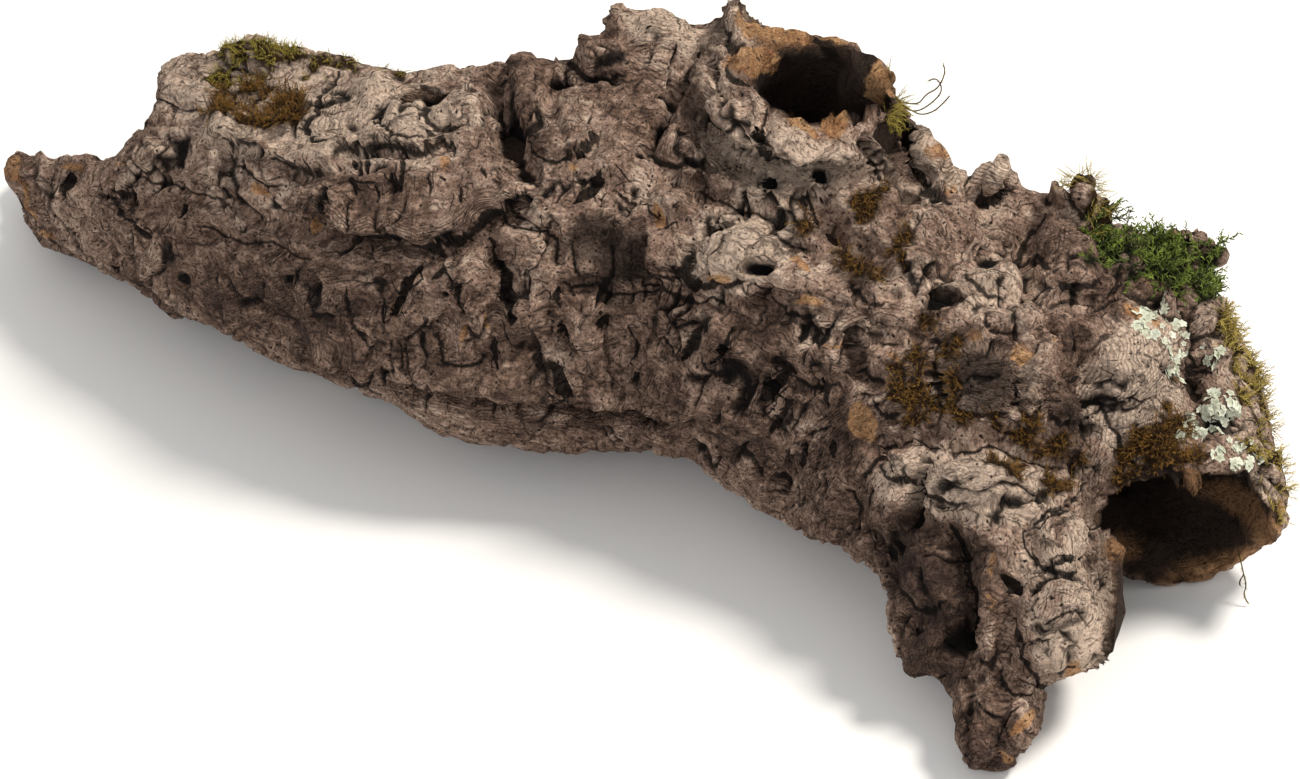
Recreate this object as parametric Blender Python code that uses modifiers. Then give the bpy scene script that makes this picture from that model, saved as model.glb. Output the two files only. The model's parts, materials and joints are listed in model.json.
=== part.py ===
"""A hollow, forked branch of raw cork bark, with the moss and lichen that grow on it.

Metres, +Z up. It lies on the ground plane z = 0, with its long way along X and its
fork at +X, and its origin is on the ground under the middle of its box. The bark is
one closed solid: a wall of cork round the room that the wood left when it rotted out.
"""

import math

import bmesh
import bpy
from mathutils import Matrix, Vector
from mathutils.bvhtree import BVHTree

# Driving dimensions
GRAIN = 0.0034  # size of the cells that the limbs are fused with
HOLLOW_GRAIN = 0.004  # the same for the rotted-out room
SKIN_GRAIN = 0.0028  # size of the cells of the carved bark
SKIN_FACES = 150000  # triangles on the bark before it is thinned, about
BARK_FACES = 10500  # triangles left on it, about
GAP = 0.00045  # between the bark and what grows on it
FOOT = 0.0025  # what is lower than this is worn flat where the branch lies
SHOW_TILT = math.radians(40)  # how far above the ground the show side looks
BREAK_HALF = 0.25  # half the depth of a break, well past both sides of the branch

# Limbs, as stations along each one: x, y, z of its middle and its outer radius.
LIMBS = {
    "trunk": (
        (-0.286, 0.206, 0.041, 0.034),
        (-0.211, 0.167, 0.047, 0.047),
        (-0.146, 0.122, 0.063, 0.062),
        (-0.062, 0.082, 0.074, 0.073),
        (0.020, 0.074, 0.078, 0.077),
        (0.078, 0.034, 0.074, 0.074),
        (0.130, 0.000, 0.067, 0.067),
        (0.182, 0.014, 0.063, 0.057),
    ),
    "mouth": (
        (0.165, 0.036, 0.070, 0.056),
        (0.194, 0.012, 0.062, 0.051),
        (0.208, -0.020, 0.050, 0.044),
        (0.215, -0.054, 0.042, 0.043),
    ),
    "leg": (
        (0.108, -0.008, 0.060, 0.058),
        (0.128, -0.048, 0.052, 0.050),
        (0.136, -0.092, 0.038, 0.037),
        (0.135, -0.126, 0.022, 0.020),
        (0.132, -0.157, 0.014, 0.014),
    ),
    "stub": (
        (0.045, 0.070, 0.080, 0.062),
        (0.057, 0.074, 0.125, 0.050),
        (0.061, 0.076, 0.170, 0.041),
    ),
}
# Where the wood rotted away, stationed like the limbs. Each runs out past the end of its
# limb, and opens there, but for the one in the leg.
HOLLOWS = {
    "trunk": (
        (-0.330, 0.236, 0.040, 0.020),
        (-0.282, 0.202, 0.041, 0.022),
        (-0.211, 0.167, 0.047, 0.033),
        (-0.146, 0.122, 0.063, 0.048),
        (-0.062, 0.082, 0.074, 0.058),
        (0.020, 0.074, 0.078, 0.061),
        (0.078, 0.034, 0.074, 0.057),
        (0.130, 0.000, 0.067, 0.050),
        (0.168, 0.012, 0.063, 0.042),
    ),
    "mouth": (
        (0.150, 0.030, 0.070, 0.040),
        (0.184, 0.012, 0.062, 0.039),
        (0.203, -0.020, 0.051, 0.036),
        (0.209, -0.050, 0.044, 0.0355),
        (0.214, -0.086, 0.036, 0.036),
    ),
    "leg": (
        (0.115, -0.008, 0.060, 0.042),
        (0.134, -0.048, 0.052, 0.034),
        (0.142, -0.084, 0.042, 0.022),
    ),
    "stub": (
        (0.045, 0.070, 0.080, 0.045),
        (0.062, 0.074, 0.125, 0.034),
        (0.070, 0.073, 0.170, 0.0265),
        (0.071, 0.073, 0.210, 0.028),
    ),
}

# Long swellings that the bark grew along the limbs, as stations like a limb's.
FOLDS = {
    "crest_left": (
        (-0.206, 0.168, 0.091, 0.014),
        (-0.180, 0.168, 0.099, 0.016),
        (-0.140, 0.149, 0.108, 0.017),
        (-0.108, 0.138, 0.112, 0.016),
    ),
    "boss_left": ((-0.176, 0.164, 0.100, 0.014), (-0.162, 0.168, 0.106, 0.012)),
    "rim_back": (
        (-0.104, 0.144, 0.107, 0.012),
        (-0.076, 0.134, 0.118, 0.012),
        (-0.050, 0.128, 0.124, 0.012),
    ),
    "boss_centre": ((-0.046, 0.100, 0.130, 0.018), (-0.046, 0.122, 0.140, 0.017)),
    "dome": (
        (-0.014, 0.102, 0.129, 0.029),
        (-0.006, 0.114, 0.140, 0.023),
        (0.026, 0.117, 0.142, 0.019),
    ),
    "shoulder": (
        (0.010, 0.090, 0.128, 0.027),
        (0.030, 0.106, 0.143, 0.024),
        (0.056, 0.110, 0.148, 0.022),
    ),
    "plank": (
        (0.098, 0.086, 0.132, 0.011),
        (0.107, 0.074, 0.136, 0.011),
        (0.117, 0.054, 0.124, 0.012),
    ),
    "belly": (
        (-0.120, 0.060, 0.052, 0.014),
        (-0.081, 0.034, 0.042, 0.021),
        (-0.044, 0.026, 0.042, 0.022),
        (-0.012, 0.022, 0.044, 0.022),
        (0.016, 0.010, 0.048, 0.020),
    ),
    "flank": (
        (0.024, 0.022, 0.036, 0.021),
        (0.046, -0.002, 0.038, 0.023),
        (0.080, -0.038, 0.044, 0.021),
        (0.110, -0.076, 0.048, 0.018),
    ),
    "leg_left": ((0.108, -0.076, 0.044, 0.020), (0.113, -0.112, 0.027, 0.019)),
    "leg_right": (
        (0.160, -0.076, 0.054, 0.029),
        (0.158, -0.104, 0.045, 0.028),
        (0.158, -0.124, 0.033, 0.021),
    ),
    "back_ridge": (
        (0.122, 0.050, 0.110, 0.015),
        (0.146, 0.046, 0.107, 0.018),
        (0.176, 0.040, 0.105, 0.018),
        (0.208, 0.040, 0.094, 0.017),
    ),
    "thorn": ((0.138, 0.056, 0.120, 0.012), (0.141, 0.066, 0.136, 0.0075)),
    "mouth_right": (
        (0.217, 0.010, 0.070, 0.020),
        (0.229, -0.026, 0.056, 0.018),
        (0.240, -0.066, 0.045, 0.015),
    ),
}
# Round knots: x, y, z of the middle and the radius.
KNOTS = (
    (-0.197, 0.160, 0.094, 0.015),
    (0.035, 0.122, 0.160, 0.010),
    (0.006, 0.124, 0.158, 0.011),
    (-0.012, 0.128, 0.158, 0.010),
    (0.158, 0.050, 0.121, 0.010),
    (0.174, 0.046, 0.126, 0.011),
    (0.219, 0.048, 0.104, 0.010),
)

# Breaks, seen from the show side: outlines of what is missing, as x and the height up the
# view. The view looks down at the branch by SHOW_TILT.
BREAKS = {
    "break_left": (
        (-0.330, 0.260),
        (-0.208, 0.260),
        (-0.208, 0.166),
        (-0.221, 0.159),
        (-0.223, 0.151),
        (-0.252, 0.153),
        (-0.270, 0.156),
        (-0.276, 0.148),
        (-0.270, 0.130),
        (-0.261, 0.117),
        (-0.248, 0.100),
        (-0.248, 0.080),
        (-0.330, 0.080),
    ),
}
# Holes right through the wall: centre, half-sizes and turn about Z in degrees.
HOLES = {
    "hole_top": ((-0.092, 0.112, 0.140), (0.016, 0.012, 0.030), -20.0),
    "hole_stub_side": ((0.108, 0.066, 0.140), (0.005, 0.020, 0.020), 14.0),
}

# Moss cushions and lichen crusts: how thick each is in the middle and at its edge, and
# the round spots that it covers, as x, y, z on the bark and how far it spreads from there.
GROWTHS = {
    "moss_green_cushion": (
        0.007,
        0.0015,
        ((0.189, 0.032, 0.118, 0.013), (0.204, 0.031, 0.114, 0.015), (0.217, 0.034, 0.106, 0.010)),
    ),
    "moss_gold_edge": (
        0.005,
        0.0015,
        (
            (0.238, 0.016, 0.085, 0.014),
            (0.241, 0.000, 0.082, 0.013),
            (0.243, -0.018, 0.078, 0.013),
            (0.245, -0.034, 0.073, 0.012),
            (0.247, -0.050, 0.064, 0.011),
        ),
    ),
    "moss_brown_pit": (
        0.004,
        0.0015,
        ((-0.168, 0.132, 0.119, 0.011), (-0.158, 0.120, 0.122, 0.010)),
    ),
    "moss_crest": (
        0.004,
        0.0012,
        ((-0.172, 0.160, 0.117, 0.010), (-0.156, 0.158, 0.120, 0.009)),
    ),
    "moss_crest_thin": (0.0025, 0.001, ((-0.131, 0.146, 0.126, 0.009), (-0.115, 0.145, 0.125, 0.009))),
    "moss_brown_hollow": (
        0.003,
        0.001,
        ((0.077, 0.019, 0.144, 0.010), (0.086, 0.006, 0.140, 0.010)),
    ),
    "moss_brown_gully": (
        0.003,
        0.001,
        ((0.107, -0.041, 0.118, 0.011), (0.109, -0.050, 0.109, 0.010)),
    ),
    "moss_brown_fork": (
        0.003,
        0.001,
        ((0.146, -0.066, 0.092, 0.010), (0.158, -0.060, 0.085, 0.010)),
    ),
    "moss_brown_lip": (
        0.003,
        0.001,
        ((0.195, -0.056, 0.082, 0.009), (0.206, -0.056, 0.085, 0.009)),
    ),
    "moss_stub_tuft": (0.005, 0.0012, ((0.101, 0.070, 0.162, 0.010),)),
    "moss_knob_tuft": (0.004, 0.001, ((0.178, 0.043, 0.135, 0.009),)),
    "lichen_upper": (
        0.0014,
        0.0008,
        ((0.206, -0.006, 0.107, 0.010), (0.211, -0.016, 0.102, 0.009)),
    ),
    "lichen_lower": (
        0.0014,
        0.0008,
        ((0.224, -0.041, 0.086, 0.008), (0.229, -0.050, 0.081, 0.008)),
    ),
}
# Single shoots that stand clear of the bark: their radius and the points they pass.
STRANDS = {
    "moss_strand_stub": (
        0.0008,
        (
            (0.1085, 0.0760, 0.1600),
            (0.1115, 0.0780, 0.1655),
            (0.1150, 0.0800, 0.1660),
            (0.1165, 0.0800, 0.1600),
            (0.1145, 0.0780, 0.1550),
            (0.1115, 0.0765, 0.1530),
        ),
    ),
    "moss_strand_mouth": (
        0.0008,
        (
            (0.2360, -0.0480, 0.0195),
            (0.2385, -0.0500, 0.0150),
            (0.2370, -0.0515, 0.0100),
            (0.2400, -0.0530, 0.0060),
            (0.2410, -0.0550, 0.0033),
        ),
    ),
}

BARK_COLOUR = (0.190, 0.145, 0.110)
COLOURS = {
    "moss_green_cushion": (0.060, 0.120, 0.020),
    "moss_gold_edge": (0.240, 0.190, 0.050),
    "moss_crest": (0.170, 0.150, 0.040),
    "moss_crest_thin": (0.170, 0.150, 0.040),
    "moss_stub_tuft": (0.120, 0.160, 0.030),
    "moss_knob_tuft": (0.200, 0.170, 0.060),
    "lichen_upper": (0.420, 0.470, 0.370),
    "lichen_lower": (0.420, 0.470, 0.370),
    "moss_strand_stub": (0.200, 0.180, 0.080),
    "moss_strand_mouth": (0.200, 0.150, 0.060),
}
BROWN_MOSS = (0.110, 0.055, 0.015)


def curve_tube(stations):
    """A mesh tube: a smooth curve through the stations, as thick as they say."""
    data = bpy.data.curves.new("tube", "CURVE")
    data.dimensions = "3D"
    data.bevel_depth = 1.0
    data.bevel_resolution = 6
    data.resolution_u = 8
    data.use_fill_caps = True
    spline = data.splines.new("BEZIER")
    spline.bezier_points.add(len(stations) - 1)
    for point, (x, y, z, radius) in zip(spline.bezier_points, stations):
        point.co = (x, y, z)
        point.radius = radius
        point.handle_left_type = "AUTO"
        point.handle_right_type = "AUTO"
    guide = bpy.data.objects.new("tube", data)
    bpy.context.collection.objects.link(guide)
    depsgraph = bpy.context.evaluated_depsgraph_get()
    mesh = bpy.data.meshes.new_from_object(guide.evaluated_get(depsgraph))
    bpy.data.objects.remove(guide)
    return mesh


def add_tube(bm, stations):
    mesh = curve_tube(stations)
    bm.from_mesh(mesh)
    bpy.data.meshes.remove(mesh)


def add_ball(bm, x, y, z, radius, place=Matrix.Identity(4)):
    at = place @ Matrix.Translation((x, y, z))
    bmesh.ops.create_icosphere(bm, subdivisions=3, radius=radius, matrix=at)


def linked(name, bm, collection):
    """An object with this bmesh's faces, in a collection."""
    bmesh.ops.remove_doubles(bm, verts=bm.verts, dist=1e-5)
    data = bpy.data.meshes.new(name)
    bm.to_mesh(data)
    bm.free()
    made = bpy.data.objects.new(name, data)
    collection.objects.link(made)
    return made


def fuse(made, grain, rounds):
    """Fuses overlapping shapes into one skin, then softens where they meet."""
    remesh = made.modifiers.new("fuse", "REMESH")
    remesh.mode = "VOXEL"
    remesh.voxel_size = grain
    smooth = made.modifiers.new("soften", "SMOOTH")
    smooth.factor = 0.5
    smooth.iterations = rounds


def roughen(made, size, strength):
    """Swells and sinks the surface, in lumps about as large as the size."""
    texture = bpy.data.textures.new(made.name + "_lumps", "CLOUDS")
    texture.noise_scale = size
    texture.noise_depth = 2
    displace = made.modifiers.new("lumps", "DISPLACE")
    displace.texture = texture
    displace.texture_coords = "LOCAL"
    displace.strength = strength
    displace.mid_level = 0.5


def carve(made, cutter):
    cut = made.modifiers.new("carve_" + cutter.name, "BOOLEAN")
    cut.operation = "DIFFERENCE"
    cut.object = cutter


def room_in_wood(collection):
    """The rotted-out room: every hollow limb, thinner than the limb by the wall."""
    bm = bmesh.new()
    for stations in HOLLOWS.values():
        add_tube(bm, stations)
    for centre, half, turn in HOLES.values():
        place = Matrix.Translation(centre) @ Matrix.Rotation(math.radians(turn), 4, "Z")
        add_ball(bm, 0, 0, 0, 1.0, place @ Matrix.Diagonal((*half, 1.0)))
    room = linked("room", bm, collection)
    fuse(room, HOLLOW_GRAIN, 3)
    roughen(room, 0.02, 0.006)
    return room


def break_block(name, outline, collection):
    """A block with this outline across the show side's view, as deep as the branch."""
    bm = bmesh.new()
    across = (Vector((1, 0, 0)), Vector((0, math.sin(SHOW_TILT), math.cos(SHOW_TILT))))
    into = Vector((0, math.cos(SHOW_TILT), -math.sin(SHOW_TILT)))
    near = [bm.verts.new(across[0] * x + across[1] * u - into * BREAK_HALF) for x, u in outline]
    face = bm.faces.new(near)
    depth = bmesh.ops.extrude_face_region(bm, geom=[face])
    moved = [item for item in depth["geom"] if isinstance(item, bmesh.types.BMVert)]
    bmesh.ops.translate(bm, verts=moved, vec=into * 2 * BREAK_HALF)
    bmesh.ops.recalc_face_normals(bm, faces=bm.faces)
    block = linked(name, bm, collection)
    remesh = block.modifiers.new("grain", "REMESH")
    remesh.mode = "VOXEL"
    remesh.voxel_size = 0.006
    roughen(block, 0.012, 0.010)
    return block


def ground_block(collection):
    bm = bmesh.new()
    bmesh.ops.create_cube(bm, size=1.0)
    bm.transform(Matrix.Translation((0, 0, FOOT - 0.5)))
    return linked("ground", bm, collection)


def settled(made):
    """The object with its modifiers worked out, and only its largest closed body kept."""
    depsgraph = bpy.context.evaluated_depsgraph_get()
    mesh = bpy.data.meshes.new_from_object(made.evaluated_get(depsgraph))
    made.modifiers.clear()
    bm = bmesh.new()
    bm.from_mesh(mesh)
    bodies = islands(bm.faces)
    bodies.sort(key=len)
    for body in bodies[:-1]:
        bmesh.ops.delete(bm, geom=list(body), context="FACES")
    loose = [v for v in bm.verts if not v.link_faces]
    bmesh.ops.delete(bm, geom=loose, context="VERTS")
    bm.to_mesh(mesh)
    bm.free()
    made.data = mesh
    return made


def islands(faces):
    """The faces in groups, where the faces of a group are joined by their edges."""
    left = set(faces)
    groups = []
    while left:
        group = set()
        reach = [left.pop()]
        while reach:
            face = reach.pop()
            group.add(face)
            for edge in face.edges:
                for other in edge.link_faces:
                    if other in left:
                        left.remove(other)
                        reach.append(other)
        groups.append(group)
    return groups


def covered(bm, spots):
    """The bark's faces that a growth covers: those near its spots that face as they do."""
    tree = BVHTree.FromBMesh(bm)
    chosen = set()
    seeds = []
    for x, y, z, spread in spots:
        at = Vector((x, y, z))
        _, facing, index, _ = tree.find_nearest(at)
        seeds.append((at, facing, spread))
        near = [
            face
            for face in bm.faces
            if (face.calc_center_median() - at).length < spread and face.normal.dot(facing) > 0.25
        ]
        chosen.update(near)
        chosen.add(bm.faces[index])
    pinched = True
    while pinched:
        chosen = max(islands(chosen), key=len)
        pinched = False
        for vert in {v for face in chosen for v in face.verts}:
            mine = [face for face in vert.link_faces if face in chosen]
            rim = [e for e in vert.link_edges if sum(f in chosen for f in e.link_faces) == 1]
            if len(rim) > 2:
                chosen.difference_update(mine)
                pinched = True
                break
    return chosen, seeds


def grow(name, middle, edge, spots, bark, collection):
    """A cushion or crust on the bark: its underside follows the bark, one gap away."""
    bm = bmesh.new()
    bm.from_mesh(bark.data)
    bm.normal_update()
    bm.faces.ensure_lookup_table()
    patch, seeds = covered(bm, spots)
    out = bmesh.new()
    low = {}
    high = {}
    for vert in {v for face in patch for v in face.verts}:
        weights = [max(1e-3, 1 - ((vert.co - at).length / spread) ** 2) for at, _, spread in seeds]
        lift = sum((facing * w for w, (_, facing, _) in zip(weights, seeds)), Vector())
        flattest = min(vert.normal.dot(face.normal) for face in vert.link_faces)
        under = vert.co + vert.normal * GAP / max(0.5, flattest)
        rim = any(face not in patch for face in vert.link_faces)
        height = edge if rim else edge + (middle - edge) * max(weights)
        low[vert] = out.verts.new(under)
        high[vert] = out.verts.new(under + lift.normalized() * height)
    for face in patch:
        out.faces.new([high[v] for v in face.verts])
        out.faces.new([low[v] for v in reversed(face.verts)])
        for loop in face.loops:
            neighbour = [f for f in loop.edge.link_faces if f is not face]
            if not neighbour or neighbour[0] not in patch:
                a, b = loop.vert, loop.link_loop_next.vert
                out.faces.new((high[b], high[a], low[a], low[b]))
    bm.free()
    bmesh.ops.triangulate(out, faces=out.faces)
    return linked(name, out, collection)


def strand(name, radius, points, collection):
    data = bpy.data.curves.new(name, "CURVE")
    data.dimensions = "3D"
    data.bevel_depth = radius
    data.bevel_resolution = 1
    data.resolution_u = 4
    data.use_fill_caps = True
    spline = data.splines.new("BEZIER")
    spline.bezier_points.add(len(points) - 1)
    for point, at in zip(spline.bezier_points, points):
        point.co = at
        point.handle_left_type = "AUTO"
        point.handle_right_type = "AUTO"
    made = bpy.data.objects.new(name, data)
    collection.objects.link(made)
    return made


def finish(made, colour, roughness):
    material = bpy.data.materials.new(made.name)
    material.use_nodes = True
    shader = material.node_tree.nodes["Principled BSDF"]
    shader.inputs["Base Color"].default_value = (*colour, 1.0)
    shader.inputs["Roughness"].default_value = roughness
    shader.inputs["Metallic"].default_value = 0.0
    made.data.materials.clear()
    made.data.materials.append(material)


def stand_on_origin(objects):
    """Moves everything so that the origin is on the ground, under the middle of the box."""
    bpy.context.view_layer.update()
    corners = [made.matrix_world @ Vector(c) for made in objects for c in made.bound_box]
    low = [min(c[i] for c in corners) for i in range(3)]
    high = [max(c[i] for c in corners) for i in range(3)]
    shift = Vector((-(low[0] + high[0]) / 2, -(low[1] + high[1]) / 2, -low[2]))
    for made in bpy.data.objects:
        made.location += shift
    bpy.context.view_layer.update()


def main():
    for old in list(bpy.data.objects):
        bpy.data.objects.remove(old)
    scene = bpy.context.scene
    parts = bpy.data.collections.new("cork_bark")
    cutters = bpy.data.collections.new("cutters")
    scene.collection.children.link(parts)
    scene.collection.children.link(cutters)

    # the bark: what grew, less what rotted, broke and wore away
    bm = bmesh.new()
    for stations in (*LIMBS.values(), *FOLDS.values()):
        add_tube(bm, stations)
    for knot in KNOTS:
        add_ball(bm, *knot)
    bark = linked("bark", bm, parts)
    fuse(bark, GRAIN, 6)
    roughen(bark, 0.022, 0.007)
    carve(bark, room_in_wood(cutters))
    for name, outline in BREAKS.items():
        carve(bark, break_block(name, outline, cutters))
    fuse(bark, SKIN_GRAIN, 1)
    thin = bark.modifiers.new("thin", "DECIMATE")
    thin.ratio = BARK_FACES / SKIN_FACES
    thin.use_collapse_triangulate = True
    carve(bark, ground_block(cutters))
    settled(bark)
    finish(bark, BARK_COLOUR, 0.9)

    # what grows on it
    for name, (middle, edge, spots) in GROWTHS.items():
        made = grow(name, middle, edge, spots, bark, parts)
        finish(made, COLOURS.get(name, BROWN_MOSS), 0.95)
    for name, (radius, points) in STRANDS.items():
        made = strand(name, radius, points, parts)
        finish(made, COLOURS.get(name, BROWN_MOSS), 0.95)

    for cutter in cutters.objects:
        cutter.hide_render = True
        cutter.display_type = "WIRE"
    stand_on_origin(parts.objects)


main()
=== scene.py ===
import json
import math
import time
from functools import partial

import bmesh
import bpy
import numpy as np
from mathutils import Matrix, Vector, kdtree, noise

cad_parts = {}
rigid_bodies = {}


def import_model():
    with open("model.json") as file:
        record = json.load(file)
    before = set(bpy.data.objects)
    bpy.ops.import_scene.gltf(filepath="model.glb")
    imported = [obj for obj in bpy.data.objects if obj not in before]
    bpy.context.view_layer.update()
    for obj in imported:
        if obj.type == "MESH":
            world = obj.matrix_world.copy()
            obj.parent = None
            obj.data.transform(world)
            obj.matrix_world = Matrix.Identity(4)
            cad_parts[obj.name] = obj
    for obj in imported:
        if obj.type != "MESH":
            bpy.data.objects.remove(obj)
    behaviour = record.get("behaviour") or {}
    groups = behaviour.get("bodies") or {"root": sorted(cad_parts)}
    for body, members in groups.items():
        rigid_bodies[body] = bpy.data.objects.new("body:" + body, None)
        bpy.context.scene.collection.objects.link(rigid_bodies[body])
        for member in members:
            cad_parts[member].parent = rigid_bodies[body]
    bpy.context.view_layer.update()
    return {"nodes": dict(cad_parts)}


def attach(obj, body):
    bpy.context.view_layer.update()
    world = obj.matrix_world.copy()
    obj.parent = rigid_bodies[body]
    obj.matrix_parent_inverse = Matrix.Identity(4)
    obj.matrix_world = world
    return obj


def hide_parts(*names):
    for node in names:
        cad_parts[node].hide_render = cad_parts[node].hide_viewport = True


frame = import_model()
started = time.time()
noise.seed_set(5)  # noise_vector draws its offsets from the clock without this

mm = 0.001


def say(text):
    print(f"[{time.time() - started:5.1f} s] {text}")


def hexColour(code):
    # sRGB hex to the linear values that a socket takes
    parts = [int(code[i : i + 2], 16) / 255 for i in (1, 3, 5)]
    return (*[c / 12.92 if c <= 0.04045 else ((c + 0.055) / 1.055) ** 2.4 for c in parts], 1.0)


def addNode(tree, kind, inputs=()):
    # kind leaves off ShaderNode, GeometryNode or FunctionNode, and may end in what the node is set to;
    # inputs are a list in the order of its sockets, or properties and sockets by name or place; a
    # node or an output among them is linked
    kind, *choice = kind.split()
    starts = ["GeometryNode", "FunctionNode", "ShaderNode", ""]
    if tree.bl_idname == "ShaderNodeTree":
        starts = starts[2:]
    node = tree.nodes.new(next(start + kind for start in starts if hasattr(bpy.types, start + kind)))
    if choice:
        lists = ("operation", "interpolation_type", "feature", "data_type", "mode")
        setattr(node, next(name for name in lists if hasattr(node, name)), choice[0])
    for key, value in inputs.items() if isinstance(inputs, dict) else enumerate(inputs):
        if isinstance(value, bpy.types.Node):
            value = next(output for output in value.outputs if output.enabled)
        if isinstance(value, bpy.types.NodeSocket):
            tree.links.new(value, node.inputs[key])
        elif isinstance(key, str) and hasattr(node, key):
            setattr(node, key, value)
        else:
            node.inputs[key].default_value = value
    return node


def newTree(name, sockets):
    # a geometry tree with its inputs named; also its add and the outputs of its input node
    tree = bpy.data.node_groups.new(name, "GeometryNodeTree")
    tree.interface.new_socket(name="Geometry", in_out="OUTPUT", socket_type="NodeSocketGeometry")
    for socket, kind in {"Geometry": "Geometry", **sockets}.items():
        tree.interface.new_socket(name=socket, in_out="INPUT", socket_type="NodeSocket" + kind)
    return tree, partial(addNode, tree), addNode(tree, "NodeGroupInput").outputs


def useTree(thing, tree, values):
    grown = thing.modifiers.new("tree", "NODES")
    grown.node_group = tree
    for socket in tree.interface.items_tree:
        if socket.in_out == "INPUT" and socket.name in values:
            grown[socket.identifier] = values[socket.name]


def newMaterial(name):
    material = bpy.data.materials.new(name)
    material.use_nodes = True
    material.node_tree.nodes.clear()
    return material, partial(addNode, material.node_tree)


def between(a, b, x):
    # 0 at a, rising smoothly to 1 at b
    t = np.clip((x - a) / (b - a), 0.0, 1.0)
    return t * t * (3 - 2 * t)


camera = {
    "target": (0.009, -0.030, 0.068),  # metres
    "elevation": 40,  # degrees
    "distance": 2.2,  # metres
    "across": 0.52,  # width of what it sees at the target, in metres
}
lookDown = math.radians(camera["elevation"])
viewInto = np.array([0, math.cos(lookDown), -math.sin(lookDown)])
viewUp = np.array([0, math.sin(lookDown), math.cos(lookDown)])
eye = np.array(camera["target"]) - viewInto * camera["distance"]


def addCamera():
    data = bpy.data.cameras.new("camera")
    data.sensor_width = 36
    data.lens = 36 * camera["distance"] / camera["across"]
    data.clip_end = 20
    made = bpy.data.objects.new("camera", data)
    made.location = eye
    made.rotation_euler = (math.pi / 2 - lookDown, 0, 0)
    bpy.context.collection.objects.link(made)
    bpy.context.scene.camera = made


def seen(points):
    # places on a sheet held square to the view through the target: mm right and up of it
    offset = points - eye
    scale = camera["distance"] / (offset @ viewInto) / mm
    return np.stack([(offset[:, 0]) * scale, (offset @ viewUp) * scale], 1)


def newObject(name, mesh):
    made = bpy.data.objects.new(name, mesh)
    bpy.context.collection.objects.link(made)
    return made


def applied(thing):
    # works the modifiers out and leaves a plain mesh
    depsgraph = bpy.context.evaluated_depsgraph_get()
    mesh = bpy.data.meshes.new_from_object(thing.evaluated_get(depsgraph))
    thing.modifiers.clear()
    thing.data = mesh


def readPoints(mesh, what="co"):
    values = np.empty(len(mesh.vertices) * 3, np.float32)
    mesh.vertices.foreach_get(what, values)
    return values.reshape(-1, 3).astype(float)


def writePoints(mesh, points):
    mesh.vertices.foreach_set("co", points.astype(np.float32).ravel())
    mesh.update()


def readValues(mesh, name):
    data = mesh.attributes[name].data
    wide = mesh.attributes[name].data_type == "FLOAT_VECTOR"
    values = np.empty(len(data) * (3 if wide else 1), np.float32)
    data.foreach_get("vector" if wide else "value", values)
    return (values.reshape(-1, 3) if wide else values).astype(float)


def store(mesh, name, values):
    wide = values.ndim == 2
    kind = "FLOAT_VECTOR" if wide else "FLOAT"
    attribute = mesh.attributes.get(name) or mesh.attributes.new(name, kind, "POINT")
    attribute.data.foreach_set("vector" if wide else "value", values.astype(np.float32).ravel())


# stations along each limb: x, y and z of its middle, and its radius, in metres
limbs = {
    "trunk": (
        (-0.277, 0.170, 0.038, 0.036),
        (-0.202, 0.137, 0.044, 0.047),
        (-0.137, 0.092, 0.060, 0.062),
        (-0.053, 0.052, 0.071, 0.073),
        (0.029, 0.044, 0.075, 0.077),
        (0.087, 0.004, 0.071, 0.074),
        (0.140, -0.010, 0.066, 0.066),
        (0.185, -0.020, 0.061, 0.054),
        (0.212, -0.045, 0.050, 0.046),
        (0.224, -0.084, 0.040, 0.043),
    ),
    "leg": (
        (0.117, -0.038, 0.058, 0.056),
        (0.137, -0.078, 0.050, 0.050),
        (0.145, -0.122, 0.036, 0.037),
        (0.144, -0.156, 0.020, 0.020),
        (0.141, -0.187, 0.012, 0.014),
    ),
    "stub": (
        (0.058, 0.042, 0.095, 0.060),
        (0.066, 0.044, 0.122, 0.050),
        (0.072, 0.046, 0.170, 0.041),
    ),
}


def limbPlace(points, stations):
    # for each point: mm along the limb and across it two ways, its distance from the limb's middle
    # over the radius there, that distance in mm, and the way straight out
    stations = np.array(stations)
    steps = 12
    path = [a + (b - a) * k / steps for a, b in zip(stations[:-1], stations[1:]) for k in range(steps)]
    path = np.array(path + [stations[-1]])
    for _ in range(20):  # rounds the corners off
        path[1:-1] = (path[:-2] + path[2:] + 2 * path[1:-1]) / 4
    middle, radius = path[:, :3], path[:, 3]
    tangent = np.gradient(middle, axis=0)
    tangent /= np.linalg.norm(tangent, axis=1)[:, None]
    along = np.concatenate([[0], np.cumsum(np.linalg.norm(np.diff(middle, axis=0), axis=1))])
    side = np.zeros_like(tangent)
    guide = np.array([0.0, 0.0, 1.0]) if abs(tangent[0][2]) < 0.8 else np.array([1.0, 0.0, 0.0])
    for i, t in enumerate(tangent):  # one sideways direction is carried along the limb
        guide = guide - t * (guide @ t)
        guide = guide / np.linalg.norm(guide)
        side[i] = guide
    other = np.cross(tangent, side)
    nearest = np.empty(len(points), int)
    for start in range(0, len(points), 20000):
        block = points[start : start + 20000]
        reach = (block**2).sum(1)[:, None] - 2 * block @ middle.T + (middle**2).sum(1)[None]
        nearest[start : start + 20000] = reach.argmin(1)
    offset = points - middle[nearest]
    slip = (offset * tangent[nearest]).sum(1)
    flat = offset - tangent[nearest] * slip[:, None]
    distance = np.linalg.norm(offset, axis=1)
    way = flat / np.maximum(np.linalg.norm(flat, axis=1), 1e-6)[:, None]
    across = [(offset * side[nearest]).sum(1), (offset * other[nearest]).sum(1)]
    place = np.stack([along[nearest] + slip, *across], 1) / mm
    return place, distance / radius[nearest], distance / mm, way


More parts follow.
